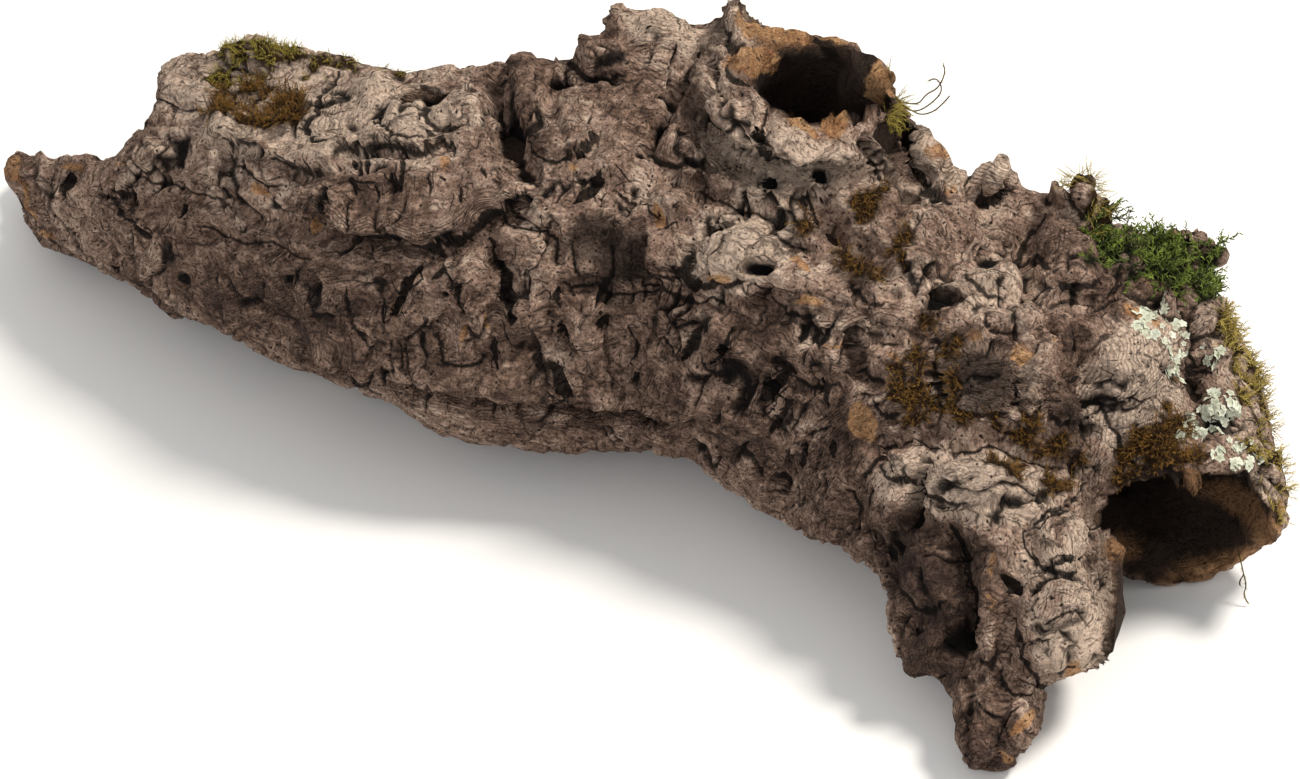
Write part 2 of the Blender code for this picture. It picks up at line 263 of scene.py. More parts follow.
def markLimbs(mesh):
    # grain: mm along and across the limb that a point is on; reach: mm out from its middle;
    # inside: 0 on the skin, 1 in the hollow and about a half on a broken rim
    points = readPoints(mesh)
    trunk, trunkRatio, trunkReach, trunkOut = limbPlace(points, limbs["trunk"])
    leg, legRatio, legReach, legOut = limbPlace(points, limbs["leg"])
    stub, stubRatio, stubReach, stubOut = limbPlace(points, limbs["stub"])
    onLeg = between(-0.10, 0.22, trunkRatio - legRatio)
    onStub = between(-0.02, 0.20, trunkRatio - stubRatio) * between(0.095, 0.13, points[:, 2])
    leg[:, 0] += 470
    stub[:, 0] += 900

    def blend(a, b, c):
        w, s = (onLeg, onStub) if a.ndim == 1 else (onLeg[:, None], onStub[:, None])
        return (a * (1 - w) + b * w) * (1 - s) + c * s

    grain = blend(trunk, leg, stub)
    reach = blend(trunkReach, legReach, stubReach)
    out = blend(trunkOut, legOut, stubOut)
    out /= np.maximum(np.linalg.norm(out, axis=1), 1e-6)[:, None]
    facing = (out * readPoints(mesh, "normal")).sum(1)
    store(mesh, "grain", grain)
    store(mesh, "reach", reach)
    return 1 - between(-0.45, 0.15, facing)


barkBody = {
    "cell": 1.1 * mm,  # size of the cells that the skin is rebuilt with
    "triangles": 194000,  # kept in the end
}


def growBody():
    mesh = frame["nodes"]["bark"].data.copy()
    bm = bmesh.new()
    bm.from_mesh(mesh)
    bmesh.ops.remove_doubles(bm, verts=bm.verts, dist=1e-5)
    bm.to_mesh(mesh)
    bm.free()
    mesh.materials.clear()
    body = newObject("cork_bark", mesh)
    rounded = body.modifiers.new("rounded", "SUBSURF")
    rounded.levels = rounded.render_levels = 1
    cells = body.modifiers.new("cells", "REMESH")
    cells.mode = "VOXEL"
    cells.voxel_size = barkBody["cell"] * 1.0
    soft = body.modifiers.new("soft", "SMOOTH")
    soft.factor = 0.5
    soft.iterations = 6
    applied(body)
    say(f"bark body: {len(body.data.vertices)} points")
    return body


# Features of the side that faces the camera. Places are mm right and up on the sheet of seen().
# domes: x, y, half length, half width, turn in degrees, mm proud (or sunk)
domes = (
    (-253, 87, 7, 9, 0, 2), (-244, 88, 5, 9, 0, 2), (-209, 66, 9, 11, 30, 2.5), (-190, 74, 14, 7, 10, -1.5),
    (-232, 76, 14, 9, -10, 1.5), (-196, 48, 16, 8, -20, 1.5), (-168, 46, 12, 8, -15, 1.5),
    (-185, 122, 13, 9, 0, 2.5), (-160, 134, 14, 6, -10, 3), (-157, 118, 7, 9, -20, -1.5),
    (-170, 108, 12, 6, 0, 2), (-202, 94, 7, 7, 0, 2.5), (-190, 92, 9, 8, 0, -1), (-155, 92, 13, 8, -25, 3),
    (-132, 95, 14, 7, 0, 2.5), (-122, 112, 14, 15, 0, -2), (-112, 124, 9, 6, 0, 2),
    (-96, 110, 13, 9, -10, 2.5), (-76, 114, 13, 8, 15, 3), (-66, 122, 10, 6, 30, 1.5),
    (-66, 106, 10, 6, 10, 1.5), (-68, 90, 10, 10, 0, 2), (-112, 88, 22, 9, 0, 2), (-90, 80, 14, 14, 0, 1.5),
    (-118, 70, 22, 8, -6, -2.5), (-150, 66, 24, 6, -10, -2.5), (-110, 53, 26, 6, -4, 2),
    (-50, 122, 11, 17, 0, 4), (-38, 131, 4, 6, 10, 2), (-36, 108, 16, 13, 35, 2.5),
    (-18, 135, 13, 9, -10, 3.5), (-14, 108, 12, 9, -15, 2), (-12, 92, 13, 8, 20, 2), (-48, 72, 10, 8, 20, 2.5),
    (-76, 52, 8, 9, 0, 2.5), (-72, 24, 11, 12, 0, 2.5), (-50, 28, 8, 12, 0, 2.5), (-46, 50, 10, 8, 35, 1.5),
    (-18, 56, 15, 13, 0, -3), (-26, 26, 10, 10, 0, 2.5), (-12, 15, 5, 11, 15, -3), (4, 26, 10, 12, 0, 2),
    (-100, 26, 18, 9, -8, 2.5), (-130, 28, 16, 9, -10, 2), (-118, 16, 16, 5, -8, -1.5),
    (-88, 14, 16, 7, -4, 2), (28, 18, 10, 13, 20, 2.5), (16, -2, 14, 9, -38, 1.5), (46, -14, 14, 9, -40, 2),
    (30, -12, 9, 9, -30, 1.5), (70, -40, 16, 9, -40, 2), (9, 98, 8, 8, 0, 3.5), (17, 124, 7, 12, -10, 2),
    (30, 112, 8, 9, 0, 2.5), (42, 131, 11, 7, 10, 3), (42, 118, 9, 6, 0, 1.5), (58, 97, 14, 7, -8, 2.5),
    (76, 97, 10, 6, 10, 2), (34, 147, 5, 9, 0, 4), (8, 144, 14, 8, -20, 2), (24, 90, 5, 3, 10, -2.5),
    (19, 84, 4, 3, 0, -2.5), (34, 87, 5, 3, -10, -2.5), (20, 78, 6, 2, 8, -2.5), (48, 80, 12, 6, -10, 2),
    (66, 82, 8, 5, 0, 2), (32, 55, 19, 12, 28, 4), (8, 76, 9, 9, 0, 2.5), (6, 56, 9, 12, 0, 3),
    (60, 66, 14, 8, -20, 2.5), (60, 42, 14, 12, -30, 2.5), (88, 96, 3, 7, 10, -3), (95, 92, 5, 8, 15, 2.5),
    (113, 92, 5, 15, 22, 5), (92, 78, 10, 7, 0, 2), (85, 60, 6, 4, -45, -3), (72, 70, 10, 5, -30, -3),
    (88, 44, 7, 9, 20, 2.5), (66, 12, 15, 10, -22, 3), (96, 28, 12, 9, 0, 2.5), (96, -4, 8, 7, 0, 2.5),
    (84, -12, 6, 9, 20, -1.2), (62, -4, 8, 6, 0, 1.5), (110, 68, 12, 10, 0, 2), (124, 70, 9, 8, 0, 2),
    (138, 84, 5, 9, -30, 5), (144, 66, 7, 8, 0, 1.5), (110, 52, 10, 8, 0, 2), (130, 60, 6, 8, 0, 1.5),
    (164, 77, 5, 3, 0, 3), (175, 77, 6, 7, 0, 4), (168, 58, 16, 11, -45, 4.5), (140, 46, 12, 7, -10, 2.5),
    (128, 28, 14, 6, 30, 2.5), (148, 30, 12, 7, 0, 2.5), (133, 4, 17, 14, 0, 3.5), (157, 6, 8, 17, -20, 3.5),
    (170, -8, 7, 7, 0, 3), (190, 50, 8, 6, -45, 2), (200, -1, 16, 31, 6, 3.6), (207, 36, 5, 6, 0, 2.5),
    (226, 31, 8, 8, 0, 2.5), (228, 14, 9, 5, 0, 2.5), (229, -5, 9, 9, 0, 2.5), (225, 54, 5, 5, 0, 3.5),
    (212, 60, 8, 3, -8, 2), (130, -9, 18, 7, 0, 2), (150, -12, 12, 7, 0, 2.5), (128, -36, 24, 9, -4, 4),
    (100, -30, 8, 7, -20, 3), (94, -48, 8, 10, 0, 2), (164, -58, 13, 14, 20, 3), (165, -92, 18, 28, 8, 4.5),
    (108, -72, 10, 16, 10, 3), (110, -104, 11, 12, 0, 3), (134, -90, 7, 20, 5, 2.5), (140, -64, 8, 12, 10, 2),
    (150, -112, 9, 10, 0, 2.5), (130, -124, 9, 7, 0, 2), (132, -145, 8, 8, 0, 2.5), (146, -127, 6, 6, 0, 2),
    (124, -98, 6, 5, 0, -4),
)
# valleys, and ridges where the depth is below nothing: the line, width, depth
valleys = (
    (((-212, 90), (-203, 84), (-188, 81), (-176, 78), (-170, 70)), 5, 2.5),
    (((-186, 66), (-174, 61), (-158, 59), (-144, 52), (-134, 50)), 6, 2.5),
    (((-136, 50), (-124, 47), (-100, 48), (-86, 50)), 3, 1.5),
    (((-170, 100), (-169, 88), (-168, 78), (-161, 66)), 4, 3),
    (((-60, 132), (-61, 118), (-58, 102), (-52, 92), (-44, 84)), 6, 4.5),
    (((-40, 126), (-40, 116), (-34, 96)), 3, 1.5), (((-66, 62), (-62, 55), (-58, 48)), 6, 4),
    (((-58, 72), (-46, 64), (-39, 58), (-37, 46)), 5, 3),
    (((-40, 43), (-31, 38), (-22, 41), (-8, 36), (2, 41), (12, 35), (22, 37), (36, 27)), 6, 3),
    (((-2, 95), (2, 104), (7, 110), (10, 119), (12, 131), (20, 139)), 5, 4),
    (((48, 116), (46, 108), (42, 101)), 4, 3), (((22, 134), (24, 128), (29, 122), (30, 116)), 2.5, 2),
    (((2, 90), (12, 82), (28, 76), (44, 72), (58, 60)), 5, 2.5), (((14, 60), (14, 48), (16, 42)), 3, 2),
    (((38, 44), (44, 40), (44, 32), (40, 24)), 4, 3), (((98, 106), (101, 94), (104, 84), (107, 76)), 8, 8),
    (((62, 80), (70, 72), (84, 62), (92, 52), (96, 44)), 8, 4),
    (((81, 28), (81, 12), (86, 4), (93, 1)), 4, 3.5), (((86, 27), (86, 18), (88, 10)), 4, -2.5),
    (((104, 36), (112, 31), (124, 33), (134, 40)), 5, -2),
    (((160, 76), (152, 68), (150, 58), (152, 48), (158, 36)), 5, 4),
    (((128, 64), (126, 56), (121, 50), (112, 46)), 3, 2),
    (((158, 36), (170, 41), (182, 37), (192, 38)), 3, 2.5), (((160, 34), (162, 24), (164, 16)), 2.5, 2),
    (((172, 28), (176, 18), (180, 6), (179, -12), (178, -26)), 8, 6),
    (((212, 42), (217, 32), (221, 20), (219, 6), (222, -6)), 4, 3.5),
    (((84, -20), (92, -23), (104, -19), (114, -23), (128, -24), (138, -21), (146, -24), (160, -28),
      (174, -32)), 6, 3),
    (((116, 20), (114, 6), (116, -8), (112, -20)), 6, 3),
    (((111, -31), (107, -39), (104, -46), (99, -58)), 6, 7),
    (((118, -52), (122, -66), (123, -80), (126, -92), (125, -106)), 9, 7),
    (((143, -86), (141, -97), (144, -112)), 4, 2), (((88, -56), (90, -66), (98, -78)), 5, 3),
    (((-4, -6), (-4, -18)), 6, 3), (((78, -38), (80, -48), (78, -58)), 5, 4),
    (((52, -34), (50, -42), (54, -50)), 5, 4), (((-228, 92), (-232, 84), (-234, 74)), 2.5, 2),
    (((-248, 92), (-249, 82), (-246, 70)), 2.5, -1.5),
)
# ledges: the line, with the proud side on the left of the way it runs, how far back, mm proud
ledges = (
    (((-180, 104), (-170, 100), (-160, 97), (-148, 91), (-138, 88), (-127, 88), (-119, 96), (-106, 98),
      (-92, 97), (-74, 100)), 12, 3),
    (((-142, 80), (-131, 67), (-120, 61), (-101, 60), (-89, 55), (-78, 60), (-69, 67), (-57, 72),
      (-46, 81)), 20, 5),
    (((-142, 14), (-126, 10), (-112, 9), (-98, 5), (-84, 3), (-68, 0), (-50, -2), (-34, -2), (-18, -4),
      (-6, -8), (8, -12), (20, -20)), 18, 5),
    (((-3, 68), (-4, 58), (-2, 46), (2, 40)), 10, 4), (((54, 91), (66, 89), (76, 91), (87, 96)), 8, 2.5),
    (((108, -44), (116, -49), (126, -47), (134, -52)), 9, 1.6),
    (((122, -128), (128, -138), (131, -148)), 5, 2), (((-34, 92), (-26, 97), (-20, 103)), 7, 2.5),
    (((20, 60), (30, 66), (44, 70), (50, 62), (50, 52)), 5, 1.5),
)
# cracks: the line, width, depth
cracks = (
    (((-220, 76), (-211, 72), (-205, 68), (-200, 61), (-199, 54)), 2.4, 3),
    (((-218, 79), (-210, 78), (-206, 75)), 2, 2), (((-233, 85), (-234, 80), (-233, 75)), 2.6, 3),
    (((-191, 69), (-188, 74)), 3, 3), (((-215, 51), (-210, 43)), 2.5, 3),
    (((-142, 50), (-143, 45), (-144, 40)), 1.8, 2),
    (((-123, 131), (-130, 122), (-134, 112), (-138, 104), (-133, 98), (-121, 96)), 1.8, 3),
    (((-112, 118), (-107, 113), (-111, 107), (-104, 103), (-101, 97)), 1.6, 2),
    (((-92, 108), (-88, 113), (-89, 117)), 2, 2), (((-90, 103), (-82, 101), (-80, 98)), 2.2, 3),
    (((-100, 100), (-99, 90), (-100, 78)), 1.8, 3), (((-117, 95), (-117, 88)), 1.6, 3),
    (((-112, 93), (-112, 86)), 1.8, 3), (((-119, 85), (-118, 77)), 1.5, 2.5), (((-131, 84), (-128, 73)), 2, 3),
    (((-110, 81), (-109, 74)), 1.6, 2.5), (((-103, 87), (-103, 75)), 1.8, 3), (((-88, 87), (-88, 77)), 1.2, 2),
    (((-76, 81), (-74, 75)), 1.8, 2.5), (((-67, 87), (-64, 82)), 1.6, 2.5),
    (((-123, 96), (-110, 95), (-98, 91)), 1.2, 2), (((-125, 83), (-104, 81)), 1, 1.5),
    (((-93, 51), (-96, 44), (-99, 37), (-102, 29)), 4, 5), (((-83, 50), (-88, 43)), 2.2, 3),
    (((-59, 53), (-57, 44), (-56, 36), (-54, 26)), 3.2, 5), (((-122, 43), (-123, 35), (-120, 28)), 1.5, 2),
    (((-76, 44), (-78, 36), (-75, 31)), 2, 3), (((-61, 20), (-61, 10)), 1.8, 3),
    (((-48, 9), (-43, 13), (-38, 13)), 1.8, 2.5), (((-36, 26), (-34, 18), (-31, 10)), 4.5, 6),
    (((-39, 11), (-35, 6), (-32, 1)), 4, 5), (((-37, 39), (-37, 30)), 2.4, 3),
    (((-20, 26), (-17, 31)), 3.5, 4), (((17, 25), (15, 17), (12, 11)), 2.8, 4),
    (((-9, 27), (-7, 8)), 1.6, 2.5), (((34, 28), (32, 20), (28, 12), (22, 9)), 1.8, 3),
    (((46, 12), (52, 12), (58, 6)), 2.6, 4), (((54, 8), (50, 1), (43, -6)), 3.4, 5),
    (((56, -4), (52, -12), (48, -19)), 2.6, 4), (((-64, -3), (-63, -10)), 2, 3),
    (((-20, 87), (-24, 80), (-31, 76)), 3, 4), (((-35, 92), (-28, 95), (-20, 103)), 2, 3),
    (((-16, 80), (-6, 72)), 1.4, 2), (((-12, 70), (-3, 77)), 1.4, 2), (((-14, 89), (-8, 82)), 1.2, 2),
    (((0, 99), (2, 105), (8, 113)), 2, 2), (((41, 96), (46, 92), (53, 90)), 1.6, 2.5),
    (((60, 89), (70, 89)), 1.6, 3), (((8, 71), (12, 74)), 1.6, 2), (((-31, 20), (-30, 12)), 1.6, 2),
    (((0, 24), (6, 20), (8, 12)), 1.4, 2), (((68, 4), (70, -8)), 1.6, 2.5),
    (((100, -22), (90, -28), (84, -38)), 2, 3), (((150, -56), (158, -51), (168, -45), (174, -41)), 1.8, 3),
    (((153, -58), (161, -53), (172, -47)), 1.3, 2.5), (((160, -71), (168, -67), (177, -64)), 2, 3.5),
    (((150, -81), (156, -76), (160, -74)), 1.8, 2.5), (((158, -94), (165, -90), (174, -88)), 1.5, 2.5),
    (((176, -76), (179, -88)), 1.2, 2), (((149, -104), (156, -102), (163, -98)), 1.5, 2.5),
    (((161, -112), (172, -109)), 1.3, 2), (((141, -73), (147, -80)), 4, 5),
    (((160, 34), (154, 33), (148, 36)), 1.2, 2), (((182, 38), (186, 42), (188, 50)), 1.6, 2),
    (((176, 6), (172, 2), (170, -2)), 1.6, 2), (((186, -4), (192, -4), (196, -6)), 1.4, 2),
    (((100, -58), (108, -54)), 1.4, 2), (((-42, 30), (-40, 20)), 1.6, 2.5), (((-108, 36), (-104, 28)), 1.8, 3),
    (((-133, 43), (-137, 35)), 1.4, 2), (((-157, 43), (-157, 38), (-159, 32)), 1.6, 2),
    (((-172, 46), (-173, 40)), 1.4, 2), (((28, -8), (22, -16)), 1.8, 3), (((62, -24), (58, -32)), 2, 3),
    (((72, -20), (74, -30)), 1.8, 3), (((38, -22), (33, -30)), 1.8, 2.5), (((88, -38), (86, -48)), 2.2, 3),
    (((148, -128), (142, -134), (139, -143)), 1.4, 2),
)
# holes: x, y, half length, half width, turn, depth
holes = (
    (-147.5, 43.5, 2.2, 1.7, -20, 4), (-186, 43, 2, 3.4, 20, 3), (-57, 108, 4, 10, -4, 7),
    (-36, 125, 6, 1.1, -5, 3), (-20, 125.5, 9, 1.5, -14, 4), (5, 109, 2.6, 4.5, -35, 6),
    (-2.5, 95, 1.8, 2.6, -20, 4), (20, 110, 2.6, 4.4, -28, 6), (23, 63, 5, 1.5, 14, 6), (44, 48, 7, 2.4, 6, 7),
    (69, 85, 2, 3, 10, 4), (48, 82, 3, 2, 0, 3), (117, 36, 8, 4, 14, 8), (136, 51, 4, 4, 0, 3),
    (119, 87, 2, 3, 0, 4), (-105, 9, 5, 2, -6, 4), (136, -150, 3, 1.2, -20, 2), (79, -66, 3, 2, 0, 3),
    (107, -95, 2, 1.4, 0, 3), (160, -83, 1, 1, 0, 2), (-83, 37, 1.5, 1.2, 0, 3), (95, -66, 2, 3, 20, 4),
)
# stains: x, y, half length, half width, turn, strength
stains = {
    "tan": (
        (-253, 88, 6, 6, 20, 0.7), (-249, 80, 2, 10, 8, 1), (-247, 70, 2, 5, 10, 0.9),
        (-233, 89, 5, 2, -20, 1), (-243, 60, 6, 1.5, -10, 0.8), (-216, 90, 6, 1, 0, 0.7),
        (-156, 80, 5, 2.2, -10, 1), (-138.5, 66, 2, 3.5, 0, 0.9), (-82, 91, 3, 4, 0, 0.7),
        (-73, 24, 1.5, 6, -10, 0.9), (-63, 27, 1.5, 4, 0, 0.8), (-31, 90, 2.5, 1.5, 0, 1),
        (2, 70, 1.6, 4, 0, 1), (26, 43, 8, 2.5, 0, 0.75), (61, 50, 6, 2.2, -35, 1), (65, 35, 7, 2.4, 10, 1),
        (75, 18, 6, 1.4, 0, 0.9), (98, 13, 6, 1.4, -25, 0.9), (84, -13, 4.6, 8, 20, 1.3),
        (150, 15, 4, 5, 0, 0.7), (163, 18, 4, 1.4, 0, 0.8), (196, 29, 9, 3, -38, 0.9), (198, 42, 4, 4, 0, 0.5),
        (215, 6, 4, 3, 0, 0.7), (60, 145, 22, 5, -4, 1.2), (42, 132, 11, 6.5, 0, 1.3),
        (60, 108, 11, 1.8, -38, 1.2), (75, 107, 5, 7, -30, 1.2), (96, 125, 3.5, 9, 6, 1.2),
        (36, 144, 4, 3, 0, 0.7), (117, 94, 3, 4, 0, 0.8), (122, 82, 3, 2, 0, 0.6), (169, -115, 4, 8, -20, 1),
        (150, -134, 2.5, 8, -40, 0.9), (143, -149, 4, 2, 0, 0.9), (137, -84, 2, 5, 0, 0.6),
        (136, -70, 1.5, 5, 0, 0.7), (253, -50, 5, 9, 0, 0.7), (225, -72, 26, 4, 18, 0.6),
        (132, 22, 6, 1.4, 15, 0.7), (144, 3, 3, 2, 0, 0.4), (48, -36, 5, 3, 0, 0.3), (78, 30, 3, 3, 0, 0.5),
        (210, 60, 8, 2, -8, 0.6),
    ),
    "bare": (
        (238, -46, 17, 5, -35, 1), (246, -58, 11, 5, -60, 0.9), (214, -36, 13, 5, -25, 0.9),
        (226, -72, 28, 6, 18, 0.9), (190, -62, 8, 6, 30, 0.9), (60, 143, 24, 7, -4, 0.7),
        (97, 124, 4, 9, 0, 0.5),
    ),
    "soot": (
        (-25, 61, 13, 11, 30, 1.25), (-12, 52, 13, 11, -30, 1.45), (-20, 44, 13, 7, 10, 1.1),
        (100, -70, 16, 22, 10, 0.8), (-28, 34, 12, 8, 0, 0.5), (133, 5, 17, 16, 0, 1.35),
        (172, -8, 9, 9, 0, 1.1), (26, 86, 11, 8, -10, 0.8), (70, 122, 26, 17, -10, 0.8),
        (228, -2, 10, 12, 0, 0.6), (123, -76, 11, 30, 0, 0.9), (104, -54, 12, 12, 0, 0.8),
        (-52, 112, 9, 22, 0, 0.6), (92, -44, 12, 10, 0, 0.6), (140, 62, 14, 9, 0, 0.5),
        (-200, 50, 14, 8, -20, 0.5), (64, 92, 12, 5, 0, 0.3), (128, -23, 10, 3, 0, 0.5),
        (74, -44, 14, 10, -40, 0.6), (156, -116, 8, 6, 0, 0.6), (-170, 90, 6, 12, 0, 0.5),
        (30, 6, 20, 12, -30, 0.4),
    ),
}
# patches of weathered tone and of painted light and shade: x, y, half length, half width, turn, how much paler
# (or darker)
toneAndLightPatches = (
    (-110, 22, 100, 34, -12, -0.16), (60, -24, 80, 30, -38, -0.16), (-140, 116, 60, 22, 0, 0.32),
    (-92, 110, 20, 12, 0, 0.2), (34, 56, 22, 16, 20, 0.45), (180, 30, 50, 50, -30, -0.07),
    (166, -80, 20, 44, 10, 0.26), (126, -38, 36, 14, 0, 0.6), (198, 0, 18, 30, 6, 0.65),
    (26, 110, 9, 22, 0, 0.18), (-204, 60, 40, 24, -10, -0.06), (-50, 116, 12, 20, 0, -0.1),
    (134, -142, 16, 14, 0, -0.22), (52, 100, 30, 16, 0, 0.22), (40, 56, 20, 14, 20, 0.1),
    (240, 0, 14, 60, 10, 0.15), (200, 0, 20, 40, 0, 0.12), (150, 36, 30, 14, 0, 0.15),
    (-100, 92, 30, 6, 0, 0.15), (110, 94, 12, 18, 20, 0.25), (157, 6, 10, 18, 0, 0.18),
    (108, -85, 18, 40, 0, -0.24), (10, 148, 30, 10, -10, 0.3), (0, 112, 30, 26, 0, -0.08),
    (-120, 68, 30, 8, 0, -0.1), (-18, 56, 20, 18, 0, -0.1), (70, 62, 26, 22, 0, 0.08),
    (225, 30, 12, 20, 0, 0.1), (-178, 124, 20, 10, 0, 0.15), (60, 86, 30, 12, 0, 0.25),
)
# bands of growth layers: the line they follow, how far to its left and right they reach, strength
bands = (
    (((-142, 80), (-131, 67), (-120, 61), (-101, 60), (-89, 55), (-78, 60), (-69, 67), (-57, 72),
      (-46, 81)), 9, 2, 1.0),
    (((-142, 14), (-112, 9), (-84, 3), (-50, -2), (-18, -4), (8, -12), (20, -20)), 2, 16, 0.5),
    (((-123, 131), (-130, 122), (-134, 112), (-138, 104), (-133, 98), (-121, 96)), 26, 1, 0.6),
    (((186, 26), (188, 4), (190, -14), (191, -34)), 30, 6, 0.6),
    (((172, -52), (180, -76), (174, -100)), 4, 26, 0.5),
    (((160, 70), (154, 60), (155, 48), (166, 42)), 26, 2, 0.6),
    (((-34, 88), (-26, 95), (-20, 103)), 16, 2, 0.5), (((60, 2), (70, 4), (84, 6)), 18, 2, 0.5),
    (((-180, 30), (-150, 38), (-120, 46), (-96, 50)), 10, 12, 0.5),
    (((-60, 100), (-84, 98), (-104, 100)), 4, 22, 0.35), (((-44, 104), (-34, 116), (-38, 128)), 4, 14, 0.4),
    (((108, -26), (128, -32), (150, -34)), 4, 18, 0.35),
)
# calm places, where the skin is smoother: x, y, half length, half width, turn, how much
calms = (
    (-60, -10, 80, 12, -6, 0.6), (-110, 54, 34, 8, -4, 0.6), (-160, 56, 40, 10, -15, 0.6),
    (84, -12, 7, 10, 20, 0.95), (197, 5, 20, 30, 0, 0.5), (160, -90, 22, 34, 0, 0.5),
    (168, 58, 18, 14, -40, 0.5), (-118, 108, 20, 18, 0, 0.7), (66, 10, 18, 14, -20, 0.5),
    (-215, 78, 34, 14, 0, 0.5), (34, 55, 18, 12, 25, 0.4), (42, 130, 12, 10, 0, 0.4),
    (-12, 100, 24, 14, 0, 0.4), (126, -36, 26, 10, 0, 0.4), (120, 94, 14, 20, 0, 0.6),
    (-90, 74, 44, 18, 0, 0.75),
)


# swellings of the hollow's wall, laid out as domes are
innerDomes = (
    (86, 120, 13, 17, 0, 13), (76, 106, 9, 7, -20, 7), (58, 142, 12, 4, 0, 3), (216, -38, 15, 7, -28, 9),
    (204, -64, 10, 8, 30, 4), (240, -56, 9, 9, 0, 3),
)
bold = {"domes": 1.8, "valleys": 2.1, "ledges": 2.8}  # how much each kind is made of


def boxed(places, spread, corners):
    # which places lie within a spread of the box round some corners
    low, high = np.min(corners, 0) - spread, np.max(corners, 0) + spread
    return np.nonzero(((places > low) & (places < high)).all(1))[0]


def nearOval(places, reach, x, y, halfLength, halfWidth, turn):
    # which places lie near an oval, and how far out each is: 1 on the oval
    at = boxed(places, max(halfLength, halfWidth) * reach, [(x, y)])
    angle = math.radians(turn)
    offset = places[at] - (x, y)
    a = offset[:, 0] * math.cos(angle) + offset[:, 1] * math.sin(angle)
    b = offset[:, 1] * math.cos(angle) - offset[:, 0] * math.sin(angle)
    return at, np.hypot(a / halfLength, b / halfWidth)


def nearLine(places, reach, line):
    # which places lie near a line, and for each: its distance from the line, how far to the line's
    # left it is, its distance with the right side below nothing, and how far along it is, 0 to 1
    at = boxed(places, reach, line)
    line = np.array(line, float)
    lengths = np.linalg.norm(np.diff(line, axis=0), axis=1)
    best = np.full(len(at), 1e9)
    side = np.zeros(len(at))
    along = np.zeros(len(at))
    done = 0.0
    for a, b, length in zip(line[:-1], line[1:], lengths):
        way = (b - a) / length
        offset = places[at] - a
        slide = np.clip(offset @ way, 0, length)
        gap = np.linalg.norm(offset - slide[:, None] * way, axis=1)
        nearer = gap < best
        best = np.where(nearer, gap, best)
        side = np.where(nearer, way[0] * offset[:, 1] - way[1] * offset[:, 0], side)
        along = np.where(nearer, (done + slide) / lengths.sum(), along)
        done += length
    return at, best, side, np.where(side > 0, best, -best), along


def tapered(along, part):
    # 1 along a line, falling to 0 over a part of it at either end
    return between(0, part, along) * between(0, part, 1 - along)


